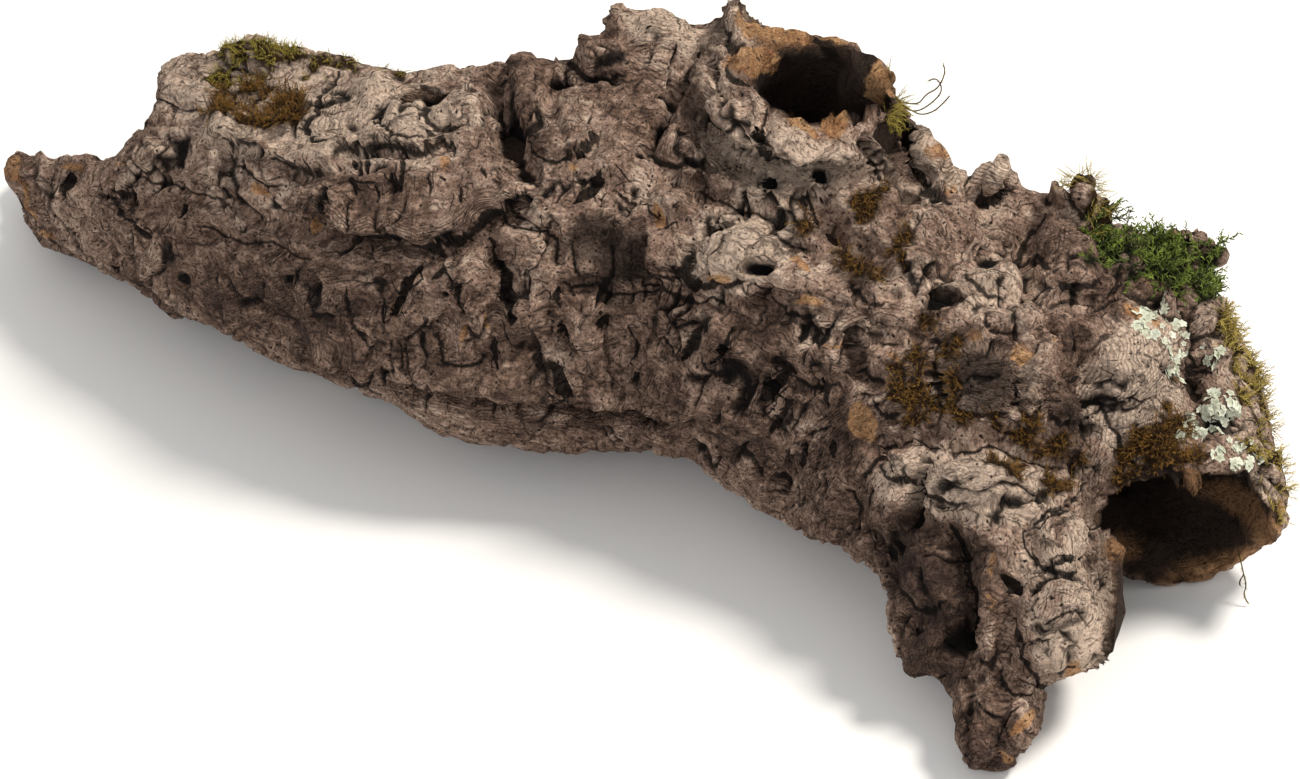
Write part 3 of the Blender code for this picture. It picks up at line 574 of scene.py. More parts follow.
def shapeShowSide(body, inside):
    # lifts and sinks the skin for the listed features, and stores their stains
    # the marks also hold painted shade in holes (gap), painted shadow lines (slit) and painted light and shade
    # (pale)
    mesh = body.data
    points, normals = readPoints(mesh), readPoints(mesh, "normal")
    toEye = eye - points
    toEye /= np.linalg.norm(toEye, axis=1)[:, None]
    facing = (normals * toEye).sum(1)
    showing = between(-0.05, 0.25, facing)
    chosen = np.nonzero(showing > 0)[0]
    sheet = seen(points[chosen])
    wobble = np.array([
        tuple(noise.noise_vector(p / 0.008) * 1.5 + noise.noise_vector(p / 0.026) * 2.2)
        for p in map(Vector, points[chosen])
    ])
    sheet += wobble[:, :2]
    lift = np.zeros(len(chosen))
    gap = np.zeros(len(chosen))
    marks = {name: np.zeros(len(chosen)) for name in ("tan", "soot", "pale", "calm", "bare")}
    slit, slitAt = np.zeros(len(chosen)), np.full(len(chosen), 99.0)

    def cut(at, signed, half):
        # a painted shadow line: how far off its middle line each place is, and half its width there
        nearer = np.abs(signed) < np.abs(slitAt[at])
        slitAt[at] = np.where(nearer, signed, slitAt[at])
        slit[at] = np.where(nearer, half, slit[at])

    for x, y, a, b, turn, height in domes:
        at, r = nearOval(sheet, 1.3, x, y, a, b, turn)
        lift[at] += bold["domes"] * height * (1 - between(0.35, 1.15, r))
        if height > 2.4:  # a crease round a bold knob
            lift[at] -= 0.45 * height * np.exp(-(((r - 1.12) / 0.16) ** 2))
            # a painted shadow line along the crease on the knob's lower side, where shade falls
            below = (sheet[at] - (x, y)) @ (-0.5, -0.87) / (max(a, b) * r + 0.01)
            cut(at, (r - 1.08) * min(a, b), 0.17 * height * between(0.0, 0.8, below))
    for line, width, depth in valleys:
        at, away, side, signed, along = nearLine(sheet, width * 1.5, line)
        ends = np.minimum(1, np.minimum(along, 1 - along) * 6 + 0.15)
        lift[at] -= bold["valleys"] * depth * ends * np.exp(-((away / (width * 0.55)) ** 2))
        # a painted shadow line along the valley's bottom
        if depth > 0:
            cut(at, signed, 0.11 * depth * tapered(along, 0.1))
    for line, back, height in ledges:
        at, away, side, signed, along = nearLine(sheet, back, line)
        ends = tapered(along, 0.12)
        proud = between(-1.4, 0.6, side) * (1 - between(0.1, 1, away / back))
        under = (1 - between(-0.6, 1.2, side)) * np.exp(-((away / (back * 0.3)) ** 2))
        lift[at] += bold["ledges"] * height * ends * (0.65 * proud - 0.6 * under)
        # a painted shadow line just under the ledge's lip
        half = 0.13 * height * ends
        cut(at, signed + 0.6 * half, half)
    for line, width, depth in cracks:
        at, away, side, signed, along = nearLine(sheet, width + 4, line)
        half = 0.42 * width * (0.25 + 0.75 * np.sin(np.pi * np.clip(along, 0.02, 0.98)))
        lift[at] -= depth * min(1, width / 3) * (1 - between(0.1, 1.25, away / half))
        # a painted shadow line along the crack
        cut(at, signed, half * tapered(along, 0.08))
    for *oval, depth in holes:
        at, r = nearOval(sheet, 1.5, *oval)
        lift[at] -= depth * (1 - between(0.45, 1.25, r))
        # the hole's inside is painted near black as shade
        gap[at] = np.maximum(gap[at], np.clip((1.1 - r) * 1.6, 0, 1))
    for name, spots in stains.items():
        for *oval, strength in spots:
            at, r = nearOval(sheet, 1.6, *oval)
            marks[name][at] = np.maximum(marks[name][at], strength * (1 - between(0.5, 1.5, r)))
    # the pale marks hold weathered tone together with painted light and shade
    for name, spots in (("pale", toneAndLightPatches), ("calm", calms)):
        for *oval, strength in spots:
            at, r = nearOval(sheet, 1.6, *oval)
            marks[name][at] += strength * (1 - between(0.3, 1.5, r))

    band, bandAt = np.zeros(len(chosen)), np.zeros(len(chosen))
    for line, left, right, strength in bands:
        at, away, side, signed, along = nearLine(sheet, max(left, right), line)
        amount = strength * between(-right * 1.3, -right * 0.6, signed)
        amount *= 1 - between(left * 0.6, left * 1.3, signed)
        amount *= tapered(along, 0.12)
        stronger = amount > band[at]
        bandAt[at] = np.where(stronger, signed, bandAt[at])
        band[at] = np.maximum(band[at], amount)
    inner = np.zeros(len(chosen))
    for *oval, height in innerDomes:
        at, r = nearOval(sheet, 1.3, *oval)
        inner[at] += height * (1 - between(0.2, 1.2, r))
    skin = showing[chosen] * (1 - between(0.3, 0.8, inside[chosen]))
    slit *= 1.15 * between(-2.2, -0.2, wobble[:, 2])
    grounded = 0.2 + 0.8 * between(0.001, 0.008, points[chosen][:, 2])
    moved = lift * skin + inner * showing[chosen] * between(0.5, 0.9, inside[chosen])
    points[chosen] += normals[chosen] * (moved * grounded * mm)[:, None]
    writePoints(mesh, points)

    def spread(values, by=showing[chosen]):
        whole = np.zeros(len(points))
        whole[chosen] = values * by
        return whole

    store(mesh, "gap", spread(gap, skin))
    store(mesh, "band", spread(band, skin))
    store(mesh, "bandAt", spread(bandAt, 1.0))
    # slit and slitAt hold the painted shadow lines
    store(mesh, "slit", spread(slit, skin))
    store(mesh, "slitAt", spread(slitAt, 1.0))
    # pale: weathered tone with painted light and shade
    for name in ("tan", "soot", "pale", "bare"):
        store(mesh, name, spread(marks[name]))
    calm = np.clip(spread(marks["calm"]), 0, 0.95)
    shown = spread(np.ones(len(chosen)))
    store(mesh, "rough", (1 - 0.6 * inside) * (1 - calm) * (1 - 0.3 * shown))
    store(mesh, "fine", 1 - 0.5 * inside)
    store(mesh, "rim", np.exp(-(((inside - 0.5) / 0.22) ** 2)))
    say("show side shaped")


relief = {
    "Lump size": 30.0,  # mm, and so are the other sizes, heights and depths
    "Lump height": 4.2,
    "Plate size": 22.0,
    "Plate height": 2.6,
    "Seam depth": 1.8,
    "Furrow spacing": 16.0,
    "Furrow depth": 1.5,
    "Crack spacing": 13.0,
    "Crack depth": 2.2,
    "Layer thickness": 1.9,
    "Rim height": 14.0,
    "Crag size": 9.0,
    "Crag height": 0.7,
    "Fibre spacing": 3.6,
    "Fibre height": 10.0,
    "Crumb size": 4.0,
    "Crumb height": 0.9,
}


def reliefTree():
    # raises lumps, plates, furrows along the grain, cracks across it and torn cork layers
    sockets = {**{name: "Float" for name in relief}, "Finish": "Material"}
    tree, add, inputs = newTree("corkRelief", sockets)
    grain = add("InputNamedAttribute FLOAT_VECTOR", {"Name": "grain"})
    place = add("InputPosition")
    bed = add("VectorMath SCALE", {0: place, "Scale": 1 / mm})
    rough, fine, rim, hollow = (
        add("InputNamedAttribute FLOAT", {"Name": name}) for name in ("rough", "fine", "rim", "inside")
    )
    wander = add("TexNoise", {"Scale": 1 / 26, "Detail": 2.0, "Vector": bed}).outputs["Color"]
    wander = add("VectorMath SUBTRACT", [wander, (0.5, 0.5, 0.5)])
    wander = add("VectorMath SCALE", {0: wander, "Scale": 26.0})
    warped = add("VectorMath ADD", [grain, wander])

    def over(size, stretch=(1.0, 1.0, 1.0), source=warped):
        # coordinates divided by one of the named sizes, and stretched
        scaled = add("VectorMath MULTIPLY", [source, stretch])
        return add("VectorMath SCALE", {0: scaled, "Scale": add("Math DIVIDE", [1.0, inputs[size]])})

    def waves(detail, roughness, where):
        # noise that goes as far below nothing as above it
        settings = {"Scale": 1.0, "Detail": detail, "Roughness": roughness, "Vector": where}
        return add("Math SUBTRACT", [add("TexNoise", settings), 0.5])

    lumps = add("Math MULTIPLY", [waves(1.5, 0.5, over("Lump size", source=bed)), inputs["Lump height"]])

    # plates with sharp seams, each at its own height
    plates = over("Plate size", (0.5, 1.0, 1.0))
    seams = add("TexVoronoi DISTANCE_TO_EDGE", {"Scale": 1.0, "Vector": plates})
    seams = add("MapRange SMOOTHSTEP", [seams, 0.0, 0.13, 1.0, 0.0])
    seams = add("Math MULTIPLY", [seams, inputs["Seam depth"]])
    plates = add("TexVoronoi F1", {"Scale": 1.0, "Vector": plates}).outputs["Color"]
    plates = add("Math SUBTRACT", [add("SeparateXYZ", [plates]).outputs["X"], 0.5])
    plates = add("Math MULTIPLY", [plates, inputs["Plate height"]])
    plates = add("Math SUBTRACT", [plates, seams])

    furrows = add("Math ABSOLUTE", [waves(2.0, 0.55, over("Furrow spacing", (0.22, 1.0, 1.0)))])
    furrows = add("MapRange SMOOTHSTEP", [furrows, 0.0, 0.10, -1.0, 0.0])
    furrows = add("Math MULTIPLY", [furrows, inputs["Furrow depth"]])

    cracks = over("Crack spacing", (1.0, 0.38, 0.38))
    cracks = add("TexVoronoi DISTANCE_TO_EDGE", {"Scale": 1.0, "Vector": cracks})
    cracks = add("MapRange SMOOTHSTEP", [cracks, 0.02, 0.11, 1.0, 0.0])
    cracked = add("TexNoise", {"Scale": 1 / 20, "Detail": 2.0, "Vector": bed})
    cracks = add("Math MULTIPLY", [cracks, add("MapRange SMOOTHSTEP", [cracked, 0.44, 0.60])])

    height = add("Math ADD", [lumps, plates])
    height = add("Math ADD", [height, furrows])
    height = add("Math MULTIPLY", [height, rough])
    chewed = add("TexNoise", {"Scale": 1 / 11, "Detail": 3.0, "Roughness": 0.6, "Vector": bed})
    chewed = add("Math SUBTRACT", [chewed, 0.55])
    chewed = add("Math MULTIPLY", [chewed, inputs["Rim height"]])
    height = add("Math MULTIPLY_ADD", [chewed, rim, height])

    # torn layers: the height settles on steps a layer thick
    ragged = add("TexNoise", {"Scale": 1 / 9, "Detail": 3.0, "Roughness": 0.6, "Vector": bed})
    ragged = add("Math MULTIPLY", [ragged, 3.0])
    steps = add("Math ADD", [height, ragged])
    steps = add("Math DIVIDE", [steps, inputs["Layer thickness"]])
    part = add("Math FRACT", [steps])
    steps = add("Math SUBTRACT", [steps, part])
    steps = add("Math ADD", [steps, add("MapRange SMOOTHSTEP", [part, 0.50, 0.95])])
    steps = add("Math MULTIPLY", [steps, inputs["Layer thickness"]])
    steps = add("Math SUBTRACT", [steps, ragged])
    height = add("Mix FLOAT", {0: 0.8, 2: height, 3: steps})

    crumbs = waves(3.0, 0.6, over("Crumb size", (0.6, 1.0, 1.0)))
    crumbs = add("Math MULTIPLY", [crumbs, inputs["Crumb height"]])
    crags = add("Math ABSOLUTE", [waves(3.0, 0.6, over("Crag size", (0.5, 1.0, 1.0)))])
    crags = add("MapRange", [crags, 0.0, 0.16, -0.6, 0.4])
    crumbs = add("Math MULTIPLY_ADD", [crags, inputs["Crag height"], crumbs])
    crumbs = add("Math MULTIPLY", [crumbs, add("MapRange", [rough, 0.0, 0.7, 0.45])])
    height = add("Math ADD", [height, crumbs])
    height = add("Math SUBTRACT", [height, add("Math MULTIPLY", [cracks, inputs["Crack depth"]])])
    hairy = waves(1.0, 0.5, over("Fibre spacing", (0.12, 1.0, 1.0)))
    hairy = add("Math MULTIPLY", [hairy, inputs["Fibre height"]])
    height = add("Math ADD", [height, add("Math MULTIPLY", [hairy, hollow])])

    settled = add("SeparateXYZ", [place]).outputs["Z"]
    settled = add("MapRange SMOOTHSTEP", [settled, 0.5 * mm, 7 * mm, 0.1])
    moved = add("Math MULTIPLY", [height, add("Math MULTIPLY", [fine, settled])])
    moved = add("Math MULTIPLY", [moved, mm])
    shaped = inputs["Geometry"]
    for name, value in (("rise", height), ("split", cracks), ("bed", bed)):
        kind = "FLOAT_VECTOR" if name == "bed" else "FLOAT"
        shaped = add("StoreNamedAttribute " + kind, {"Name": name, "Geometry": shaped, "Value": value})
    offset = add("VectorMath SCALE", {0: add("InputNormal"), "Scale": moved})
    shaped = add("SetPosition", {"Geometry": shaped, "Offset": offset})
    shaped = add("RealizeInstances", {"Geometry": shaped})
    add("NodeGroupOutput", [add("SetMaterial", {"Geometry": shaped, "Material": inputs["Finish"]})])
    return tree


def giveRelief(body, finish):
    useTree(body, reliefTree(), {**relief, "Finish": finish})
    applied(body)
    say("relief given")


def thinned(body):
    mesh = body.data
    inside = readValues(mesh, "inside")
    group = body.vertex_groups.new(name="thin")
    group.add([int(i) for i in np.nonzero(inside > 0.9)[0]], 0.8, "REPLACE")  # the hollow thins most
    group.add([int(i) for i in np.nonzero(inside <= 0.9)[0]], 0.25, "REPLACE")
    triangles = sum(len(face.vertices) - 2 for face in mesh.polygons)
    fewer = body.modifiers.new("fewer", "DECIMATE")
    fewer.ratio = min(1.0, barkBody["triangles"] / triangles)
    fewer.vertex_group = "thin"
    fewer.vertex_group_factor = 1.0
    applied(body)
    points = readPoints(body.data)
    points[:, 2] = np.maximum(points[:, 2], 0.0)
    writePoints(body.data, points)
    body.data.shade_smooth()
    body.vertex_groups.clear()
    hollow = (readValues(body.data, "inside") > 0.5).mean()
    say(f"thinned to {len(body.data.polygons)} faces, {hollow:.0%} of the points in the hollow")


corkColours = {
    "deep": "#4b3a34",
    "middle": "#7b6253",
    "pale": "#ae917f",
    # pale for wear and for a painted highlight on raised places; also the top of the tone ramp
    "worn": "#e0c6b0",
    # dark brown for painted shade in low places and painted shadow under flake steps, and for growth-layer
    # lines, fissures and pores
    "crease": "#251a15",
    # near black: painted shade in holes and cracks, and the painted shadow lines
    "gap": "#0f0a08",
    "soot": "#1c1512",
    "tan": "#cb9d70",
    "tanDark": "#9a6c47",
    # the inner cork's dark brown, made darker still as painted shade in the hollow
    "hollow": "#3d2f27",
    "rim": "#5f4532",
    "bare": "#96704f",
    "green": "#1b1d0a",
    "brown": "#33220f",
}
corkSizes = {
    # mm
    "layer": 1.25,  # between growth layers
    "flake": 6.0,
    "fissure": 3.4,
    "fibre": 1.5,
    "speck": 1.2,
    "relief": 1.5,  # bump for a height of 1
}


def corkMaterial():
    # raw cork oak bark, weathered: dull, grey-brown and open-pored, split fine both ways, paler where worn,
    # with a painted highlight on raised places, tan where torn, black and fibrous in the hollow, where painted
    # shade darkens it; painted shade also lies in low places, holes and cracks, and as painted shadow lines
    # under ledges and knobs
    material, add = newMaterial("weathered_cork_bark")
    names = ("grain", "bed", "rise", "split", "reach", "gap", "inside", "tan", "soot", "pale", "bare", "green",
             "brown", "bandAt", "band", "slitAt", "slit")
    stored = {name: add("Attribute", {"attribute_name": name}).outputs for name in names}
    grain, bed = stored["grain"]["Vector"], stored["bed"]["Vector"]
    rise, split, reach, gap, inside, tan, soot, pale, bare, green, brown, bandAt, band, slitAt, slit = (
        stored[name]["Fac"] for name in names[2:]
    )

    # noise by size in mm, detail and roughness
    broad, blotch, speck, ragged, lean, thrown, lined, warp = (
        add("TexNoise", {"Scale": 1 / size, "Detail": detail, "Roughness": roughness, "Vector": bed})
        for size, detail, roughness in (
            (40, 4.0, 0.6), (10, 6.0, 0.68), (corkSizes["speck"], 4.0, 0.75), (5, 6.0, 0.72),
            (16, 1.5, 0.5), (14, 2.0, 0.5), (22, 2.0, 0.5), (13, 2.5, 0.5),
        )
    )
    warp = add("VectorMath SUBTRACT", [warp.outputs["Color"], (0.5, 0.5, 0.5)])
    warp = add("VectorMath SCALE", {0: warp, "Scale": 6.0})
    wavy = add("VectorMath ADD", [grain, warp])
    fibre = [1 / (9 * corkSizes["fibre"]), 1 / corkSizes["fibre"], 1 / corkSizes["fibre"]]
    fibre = add("VectorMath MULTIPLY", [wavy, fibre])
    fibre = add("TexNoise", {"Scale": 1.0, "Detail": 4.0, "Roughness": 0.65, "Vector": fibre})

    grit = add("TexVoronoi F1", {"Scale": 1 / (2.2 * corkSizes["speck"]), "Vector": wavy})
    chips = add("SeparateColor", [grit.outputs["Color"]])
    pits = add("MapRange SMOOTHSTEP", [grit.outputs["Distance"], 0.10, 0.30, 1.0, 0.0])
    pits = add("Math MULTIPLY", [pits, add("MapRange SMOOTHSTEP", [chips, 0.55, 0.75])])
    chips = add("Math SUBTRACT", [chips, 0.5])

    # flakes: a broken height that settles on steps
    flake = add("TexNoise", {"Scale": 1 / corkSizes["flake"], "Detail": 6.0, "Roughness": 0.62, "Vector": wavy})
    flake = add("Math MULTIPLY", [flake, 6.0])
    part = add("Math FRACT", [flake])
    flake = add("Math SUBTRACT", [flake, part])
    flake = add("Math ADD", [flake, add("MapRange SMOOTHSTEP", [part, 0.72, 1.0])])
    undercut = add("MapRange SMOOTHSTEP", [add("Math PINGPONG", [part, 0.5]), 0.0, 0.16, 1.0, 0.0])

    # fissures both along and across the grain, each in its own patches
    fissures = None
    for stretch, seed in (((0.22, 1.0, 1.0), 0.0), ((0.9, 0.28, 0.28), 7.3)):
        lines = add("VectorMath MULTIPLY", [wavy, [k / corkSizes["fissure"] for k in stretch]])
        lines = add("TexVoronoi DISTANCE_TO_EDGE", {"Scale": 0.5, "Vector": lines})
        lines = add("MapRange SMOOTHSTEP", [lines, 0.0, 0.055, 1.0, 0.0])
        patch = add("VectorMath ADD", [bed, (seed * 10, 0, seed)])
        patch = add("TexNoise", {"Scale": 1 / 9, "Detail": 3.0, "Vector": patch})
        lines = add("Math MULTIPLY", [lines, add("MapRange SMOOTHSTEP", [patch, 0.50, 0.60])])
        fissures = add("Math MAXIMUM", [fissures, lines]) if fissures else lines

    # growth layers that the surface cuts through, and bands of them along torn edges
    lined = add("MapRange SMOOTHSTEP", [lined, 0.42, 0.60, 0.0, 0.75])
    layers = None
    for level, offset, wave, amount in ((reach, lean, 9.0, lined), (bandAt, thrown, 3.5, band)):
        level = add("Math ADD", [level, add("Math MULTIPLY", [offset, wave])])
        level = add("Math DIVIDE", [level, corkSizes["layer"]])
        level = add("Math PINGPONG", [level, 0.5])
        level = add("MapRange SMOOTHSTEP", [level, 0.02, 0.30, 1.0, 0.0])
        level = add("Math MULTIPLY", [level, amount])
        layers = add("Math MAXIMUM", [layers, level]) if layers else level

    tone = broad
    # rise makes raised places slightly paler and low ones darker: painted light and shade
    for part, amount in ((blotch, 0.65), (fibre, 0.40), (speck, 0.60), (rise, 0.025), (chips, 0.16)):
        tone = add("Math MULTIPLY_ADD", [part, amount, tone])
    # pale: patches of weathered tone and of painted light and shade
    tone = add("MapRange", [add("Math ADD", [tone, pale]), 0.82, 1.54])
    base = add("ValToRGB", [tone])
    ends = base.color_ramp.elements
    ends[0].position, ends[0].color = 0.12, hexColour(corkColours["deep"])
    ends[1].color = hexColour(corkColours["worn"])
    for place, name in ((0.42, "middle"), (0.70, "pale")):
        ends.new(place).color = hexColour(corkColours[name])

    # each coat: where it lies, broken up by ragged noise, and how much of it
    # the wear coat is wear together with a painted highlight on the highest places of the relief
    tan, soot, bare, worn = (
        add("MapRange SMOOTHSTEP", [add("Math MULTIPLY_ADD", [ragged, broken, mark]), low, high, 0.0, most])
        for mark, broken, low, high, most in (
            (tan, 1.2, 1.02, 1.30, 0.9), (soot, 1.8, 1.25, 2.35, 0.8), (bare, 1.0, 0.75, 1.3, 0.95),
            (rise, 3.5, 3.0, 5.5, 0.35),
        )
    )
    drawn, cut, shadow, split = (
        add("Math MULTIPLY", [part, amount])
        for part, amount in ((layers, 0.65), (fissures, 0.75), (undercut, 0.2), (split, 0.8))
    )
    # split and gap: painted shade in the relief's cracks and in the holes
    split = add("Math MAXIMUM", [split, gap])
    # crease: painted shade in the low places of the relief
    crease, pores, split, rim, hollow = (
        add("MapRange SMOOTHSTEP", inputs)
        for inputs in ([rise, -6.0, -1.2, 0.75, 0.0], [speck, 0.34, 0.43, 0.85, 0.0], [split, 0.25, 0.85],
                       [inside, 0.2, 0.6, 0.0, 0.7], [inside, 0.55, 0.95])
    )
    pores = add("Math MAXIMUM", [pores, pits])
    # the painted shadow lines under ledges and knobs and along valleys and cracks, broken up by ragged noise
    shadowSlits = add("Math SUBTRACT", [add("Math MULTIPLY_ADD", [ragged, 1.6, slitAt]), 0.8])
    shadowSlits = add("Math SUBTRACT", [add("Math ABSOLUTE", [shadowSlits]), slit])
    shadowSlits = add("MapRange SMOOTHSTEP", [shadowSlits, -0.3, 0.12, 1.0, 0.0])
    shadowSlits = add("Math MULTIPLY", [shadowSlits, add("MapRange SMOOTHSTEP", [slit, 0.05, 0.35, 0.0, 0.92])])
    tanned = add("MapRange SMOOTHSTEP", [blotch, 0.36, 0.60])
    tans = [hexColour(corkColours[name]) for name in ("tanDark", "tan")]
    tanned = add("Mix RGBA", {0: tanned, 6: tans[0], 7: tans[1]})
    # the hollow coat is the inner cork's colour deepened with painted shade
    colour = base.outputs[0]
    for amount, name in (
        (worn, "worn"), (crease, "crease"), (drawn, "crease"), (shadow, "crease"), (soot, "soot"),
        (cut, "crease"), (rim, "rim"), (hollow, "hollow"), (bare, "bare"), (tan, "tan"), (pores, "crease"),
        (shadowSlits, "gap"), (split, "gap"), (green, "green"), (brown, "brown"),
    ):
        coat = tanned if name == "tan" else hexColour(corkColours[name])
        colour = add("Mix RGBA", {0: amount, 6: colour, 7: coat})

    height = flake
    for part, amount in ((speck, 1.3), (fibre, 1.3), (chips, 0.7), (fissures, -0.8), (layers, -0.6),
                         (pores, -0.5), (shadowSlits, -1.5)):
        height = add("Math MULTIPLY_ADD", [part, amount, height])
    bump = add("Bump", {"Strength": 1.0, "Distance": corkSizes["relief"] * mm, "Height": height})
    surface = add("BsdfPrincipled", {"Roughness": 0.93, "IOR": 1.4, "Specular IOR Level": 0.25,
                                     "Base Color": colour, "Normal": bump})
    add("OutputMaterial", {"Surface": surface})
    return material


# finish; spacing, length and width of the shoots in mm; lean in degrees; how far the patch reaches in mm
growthSizes = ("finish", "spacing", "length", "width", "lean", "reach")
mosses = {
    "moss_green_cushion": ("moss_green", 2.1, 9.5, 8.0, 85, 1.0),
    "moss_gold_edge": ("moss_gold", 1.5, 5.5, 3.4, 80, 0.5),
    "moss_crest": ("moss_olive", 1.3, 3.6, 2.4, 80, 0.5),
    "moss_crest_thin": ("moss_olive", 1.6, 2.8, 2.0, 80, -1.0),
    "moss_stub_tuft": ("moss_olive", 1.1, 6.0, 2.4, 70, 2.0),
    "moss_knob_tuft": ("moss_gold", 1.7, 6.5, 2.4, 60, 0.5),
    "moss_brown_pit": ("moss_brown", 1.2, 5.6, 3.2, 85, 2.0),
    "moss_brown_hollow": ("moss_brown", 1.2, 3.8, 2.6, 85, 1.0),
    "moss_brown_gully": ("moss_brown", 1.2, 3.8, 2.6, 85, 1.0),
    "moss_brown_fork": ("moss_brown", 1.2, 3.8, 2.6, 85, 1.0),
    "moss_brown_lip": ("moss_brown", 1.2, 4.6, 3.0, 85, 1.5),
    "lichen_upper": ("lichen", 2.7, 3.9, 0.6, 18, 1.5),
    "lichen_lower": ("lichen", 2.7, 3.9, 0.6, 18, 1.5),
}
strands = {
    # the line each thin stem follows, in metres, and how far apart its leaflets are, in mm
    "moss_strand_stub": {
        "stems": (
            ((0.108, 0.049, 0.153), (0.112, 0.048, 0.149), (0.117, 0.047, 0.149), (0.1225, 0.048, 0.153),
             (0.1265, 0.049, 0.158), (0.1235, 0.050, 0.1645), (0.1205, 0.050, 0.162)),
            ((0.108, 0.049, 0.153), (0.113, 0.048, 0.152), (0.117, 0.047, 0.153), (0.1195, 0.048, 0.157),
             (0.1245, 0.049, 0.159), (0.1275, 0.050, 0.1675), (0.1260, 0.050, 0.170)),
            ((0.108, 0.049, 0.153), (0.112, 0.047, 0.151), (0.117, 0.046, 0.148), (0.1215, 0.046, 0.149),
             (0.1255, 0.047, 0.1515), (0.1290, 0.048, 0.1560)),
        ),
        "spacing": 1.3,
    },
    "moss_strand_mouth": {
        "stems": (
            ((0.2440, -0.072, 0.0195), (0.2445, -0.076, 0.0195), (0.2460, -0.080, 0.0140),
             (0.2475, -0.082, 0.0090), (0.2460, -0.083, 0.0050), (0.2485, -0.084, 0.0015)),
            ((0.2462, -0.080, 0.0135), (0.2440, -0.081, 0.0105), (0.2450, -0.081, 0.0085)),
        ),
        "spacing": 1.2,
    },
}
finishes = {
    # colours at the foot, along the middle and at the tips of the shoots
    "moss_green": ("cushion_moss_green", ("#060902", "#1b2507", "#66752a")),
    "moss_gold": ("dry_feather_moss_gold", ("#38290b", "#7a6a2a", "#b8a359")),
    "moss_olive": ("feather_moss_olive", ("#33260a", "#6f6222", "#a59546")),
    "moss_brown": ("dead_moss_brown", ("#180d04", "#3f280e", "#7d5a22")),
    "lichen": ("leafy_lichen_grey_green", ("#6c6d58", "#a1a38e", "#c9ccba")),
}


def mossMaterial(finish):
    # thin leaves: soft and dull, paler and yellower at the tips
    name, colours = finishes[finish]
    material, add = newMaterial(name)
    tip, shade = (add("Attribute", {"attribute_name": name}).outputs["Fac"] for name in ("tip", "shade"))
    coords = add("TexCoord").outputs["Object"]
    mottled = add("TexNoise", {"Scale": 1 / (6 * mm), "Detail": 3.0, "Vector": coords})
    fine = add("TexNoise", {"Scale": 1 / (0.5 * mm), "Detail": 2.0, "Vector": coords})
    tone = mottled
    for part, amount in ((tip, 0.45), (shade, 0.45), (fine, 0.3)):
        tone = add("Math MULTIPLY_ADD", [part, amount, tone])
    ramp = add("ValToRGB", [add("MapRange", [tone, 0.5, 1.4])])
    stops = ramp.color_ramp.elements
    stops[0].color, stops[1].color = hexColour(colours[0]), hexColour(colours[2])
    stops.new(0.5).color = hexColour(colours[1])
    bump = add("Bump", {"Strength": 0.5, "Distance": 0.3 * mm, "Height": fine})
    surface = add("BsdfPrincipled", {"Roughness": 0.8, "Specular IOR Level": 0.3, "Base Color": ramp,
                                     "Normal": bump})
    add("OutputMaterial", {"Surface": surface})
    return material


def plainMesh(name, points, faces, tips):
    mesh = bpy.data.meshes.new(name)
    mesh.from_pydata(points, [], faces)
    store(mesh, "tip", np.array(tips, float))
    return mesh


def shootMesh(leaves=8):
    # one moss shoot, 1 high: a bent three-sided stem with flat pointed leaves, each closed
    points, faces, tips = [], [], []

    def stem(t):
        return Vector((0.28 * t * t, 0.05 * math.sin(5 * t), t))

    for k in range(3):
        t, r = k / 2, 0.035 * (1.15 - k / 2)
        for a in range(3):
            points.append(stem(t) + Vector((r * math.cos(a * 2.094), r * math.sin(a * 2.094), 0)))
            tips.append(t)
    for k in range(2):
        for a in range(3):
            faces.append((k * 3 + a, k * 3 + (a + 1) % 3, k * 3 + 3 + (a + 1) % 3, k * 3 + 3 + a))
    faces += [(2, 1, 0), (6, 7, 8)]
    for k in range(leaves):
        t = 0.18 + 0.8 * k / (leaves - 1)
        turn = k * 2.4
        root = stem(t)
        long = (0.34 - 0.16 * t)
        out = Vector((math.cos(turn), math.sin(turn), 0.75))
        side = Vector((-math.sin(turn), math.cos(turn), 0)) * 0.06
        up = Vector((0, 0, 0.025))
        n = len(points)
        points += [root - side - up, root + side - up, root + up * 2, root + out * long]
        tips += [t, t, t, min(1.0, t + 0.5)]
        faces += [(n, n + 1, n + 2), (n, n + 3, n + 1), (n + 1, n + 3, n + 2), (n + 2, n + 3, n)]
    return plainMesh("shoot", points, faces, tips)


def lobeMesh(sides=20):
    # one leaf of lichen, 1 across: a thin plate with a lobed, lifted edge
    rings = ((0.0, 0.25), (0.55, 0.30), (0.95, 0.55), (1.0, 0.42), (0.6, 0.10))
    points, faces, tips = [], [], []
    for k, (r, z) in enumerate(rings[1:]):
        for a in range(sides):
            angle = 2 * math.pi * a / sides
            lobed = 1 + r * (0.20 * math.cos(5 * angle + 0.6) + 0.08 * math.cos(9 * angle))
            lift = z + 0.25 * r * r * math.sin(3 * angle + 1.0)
            points.append((0.5 * r * lobed * math.cos(angle), 0.5 * r * lobed * math.sin(angle), lift))
            tips.append(0.2 + 0.8 * r)
    top, bottom = len(points), len(points) + 1
    points += [(0, 0, 0.25), (0, 0, 0.05)]
    tips += [0.0, 0.2]
    for a in range(sides):
        b = (a + 1) % sides
        faces.append((top, a, b))
        faces.append((bottom, 3 * sides + b, 3 * sides + a))
        for k in range(3):
            faces.append((k * sides + a, (k + 1) * sides + a, (k + 1) * sides + b, k * sides + b))
    return plainMesh("lobe", points, faces, tips)


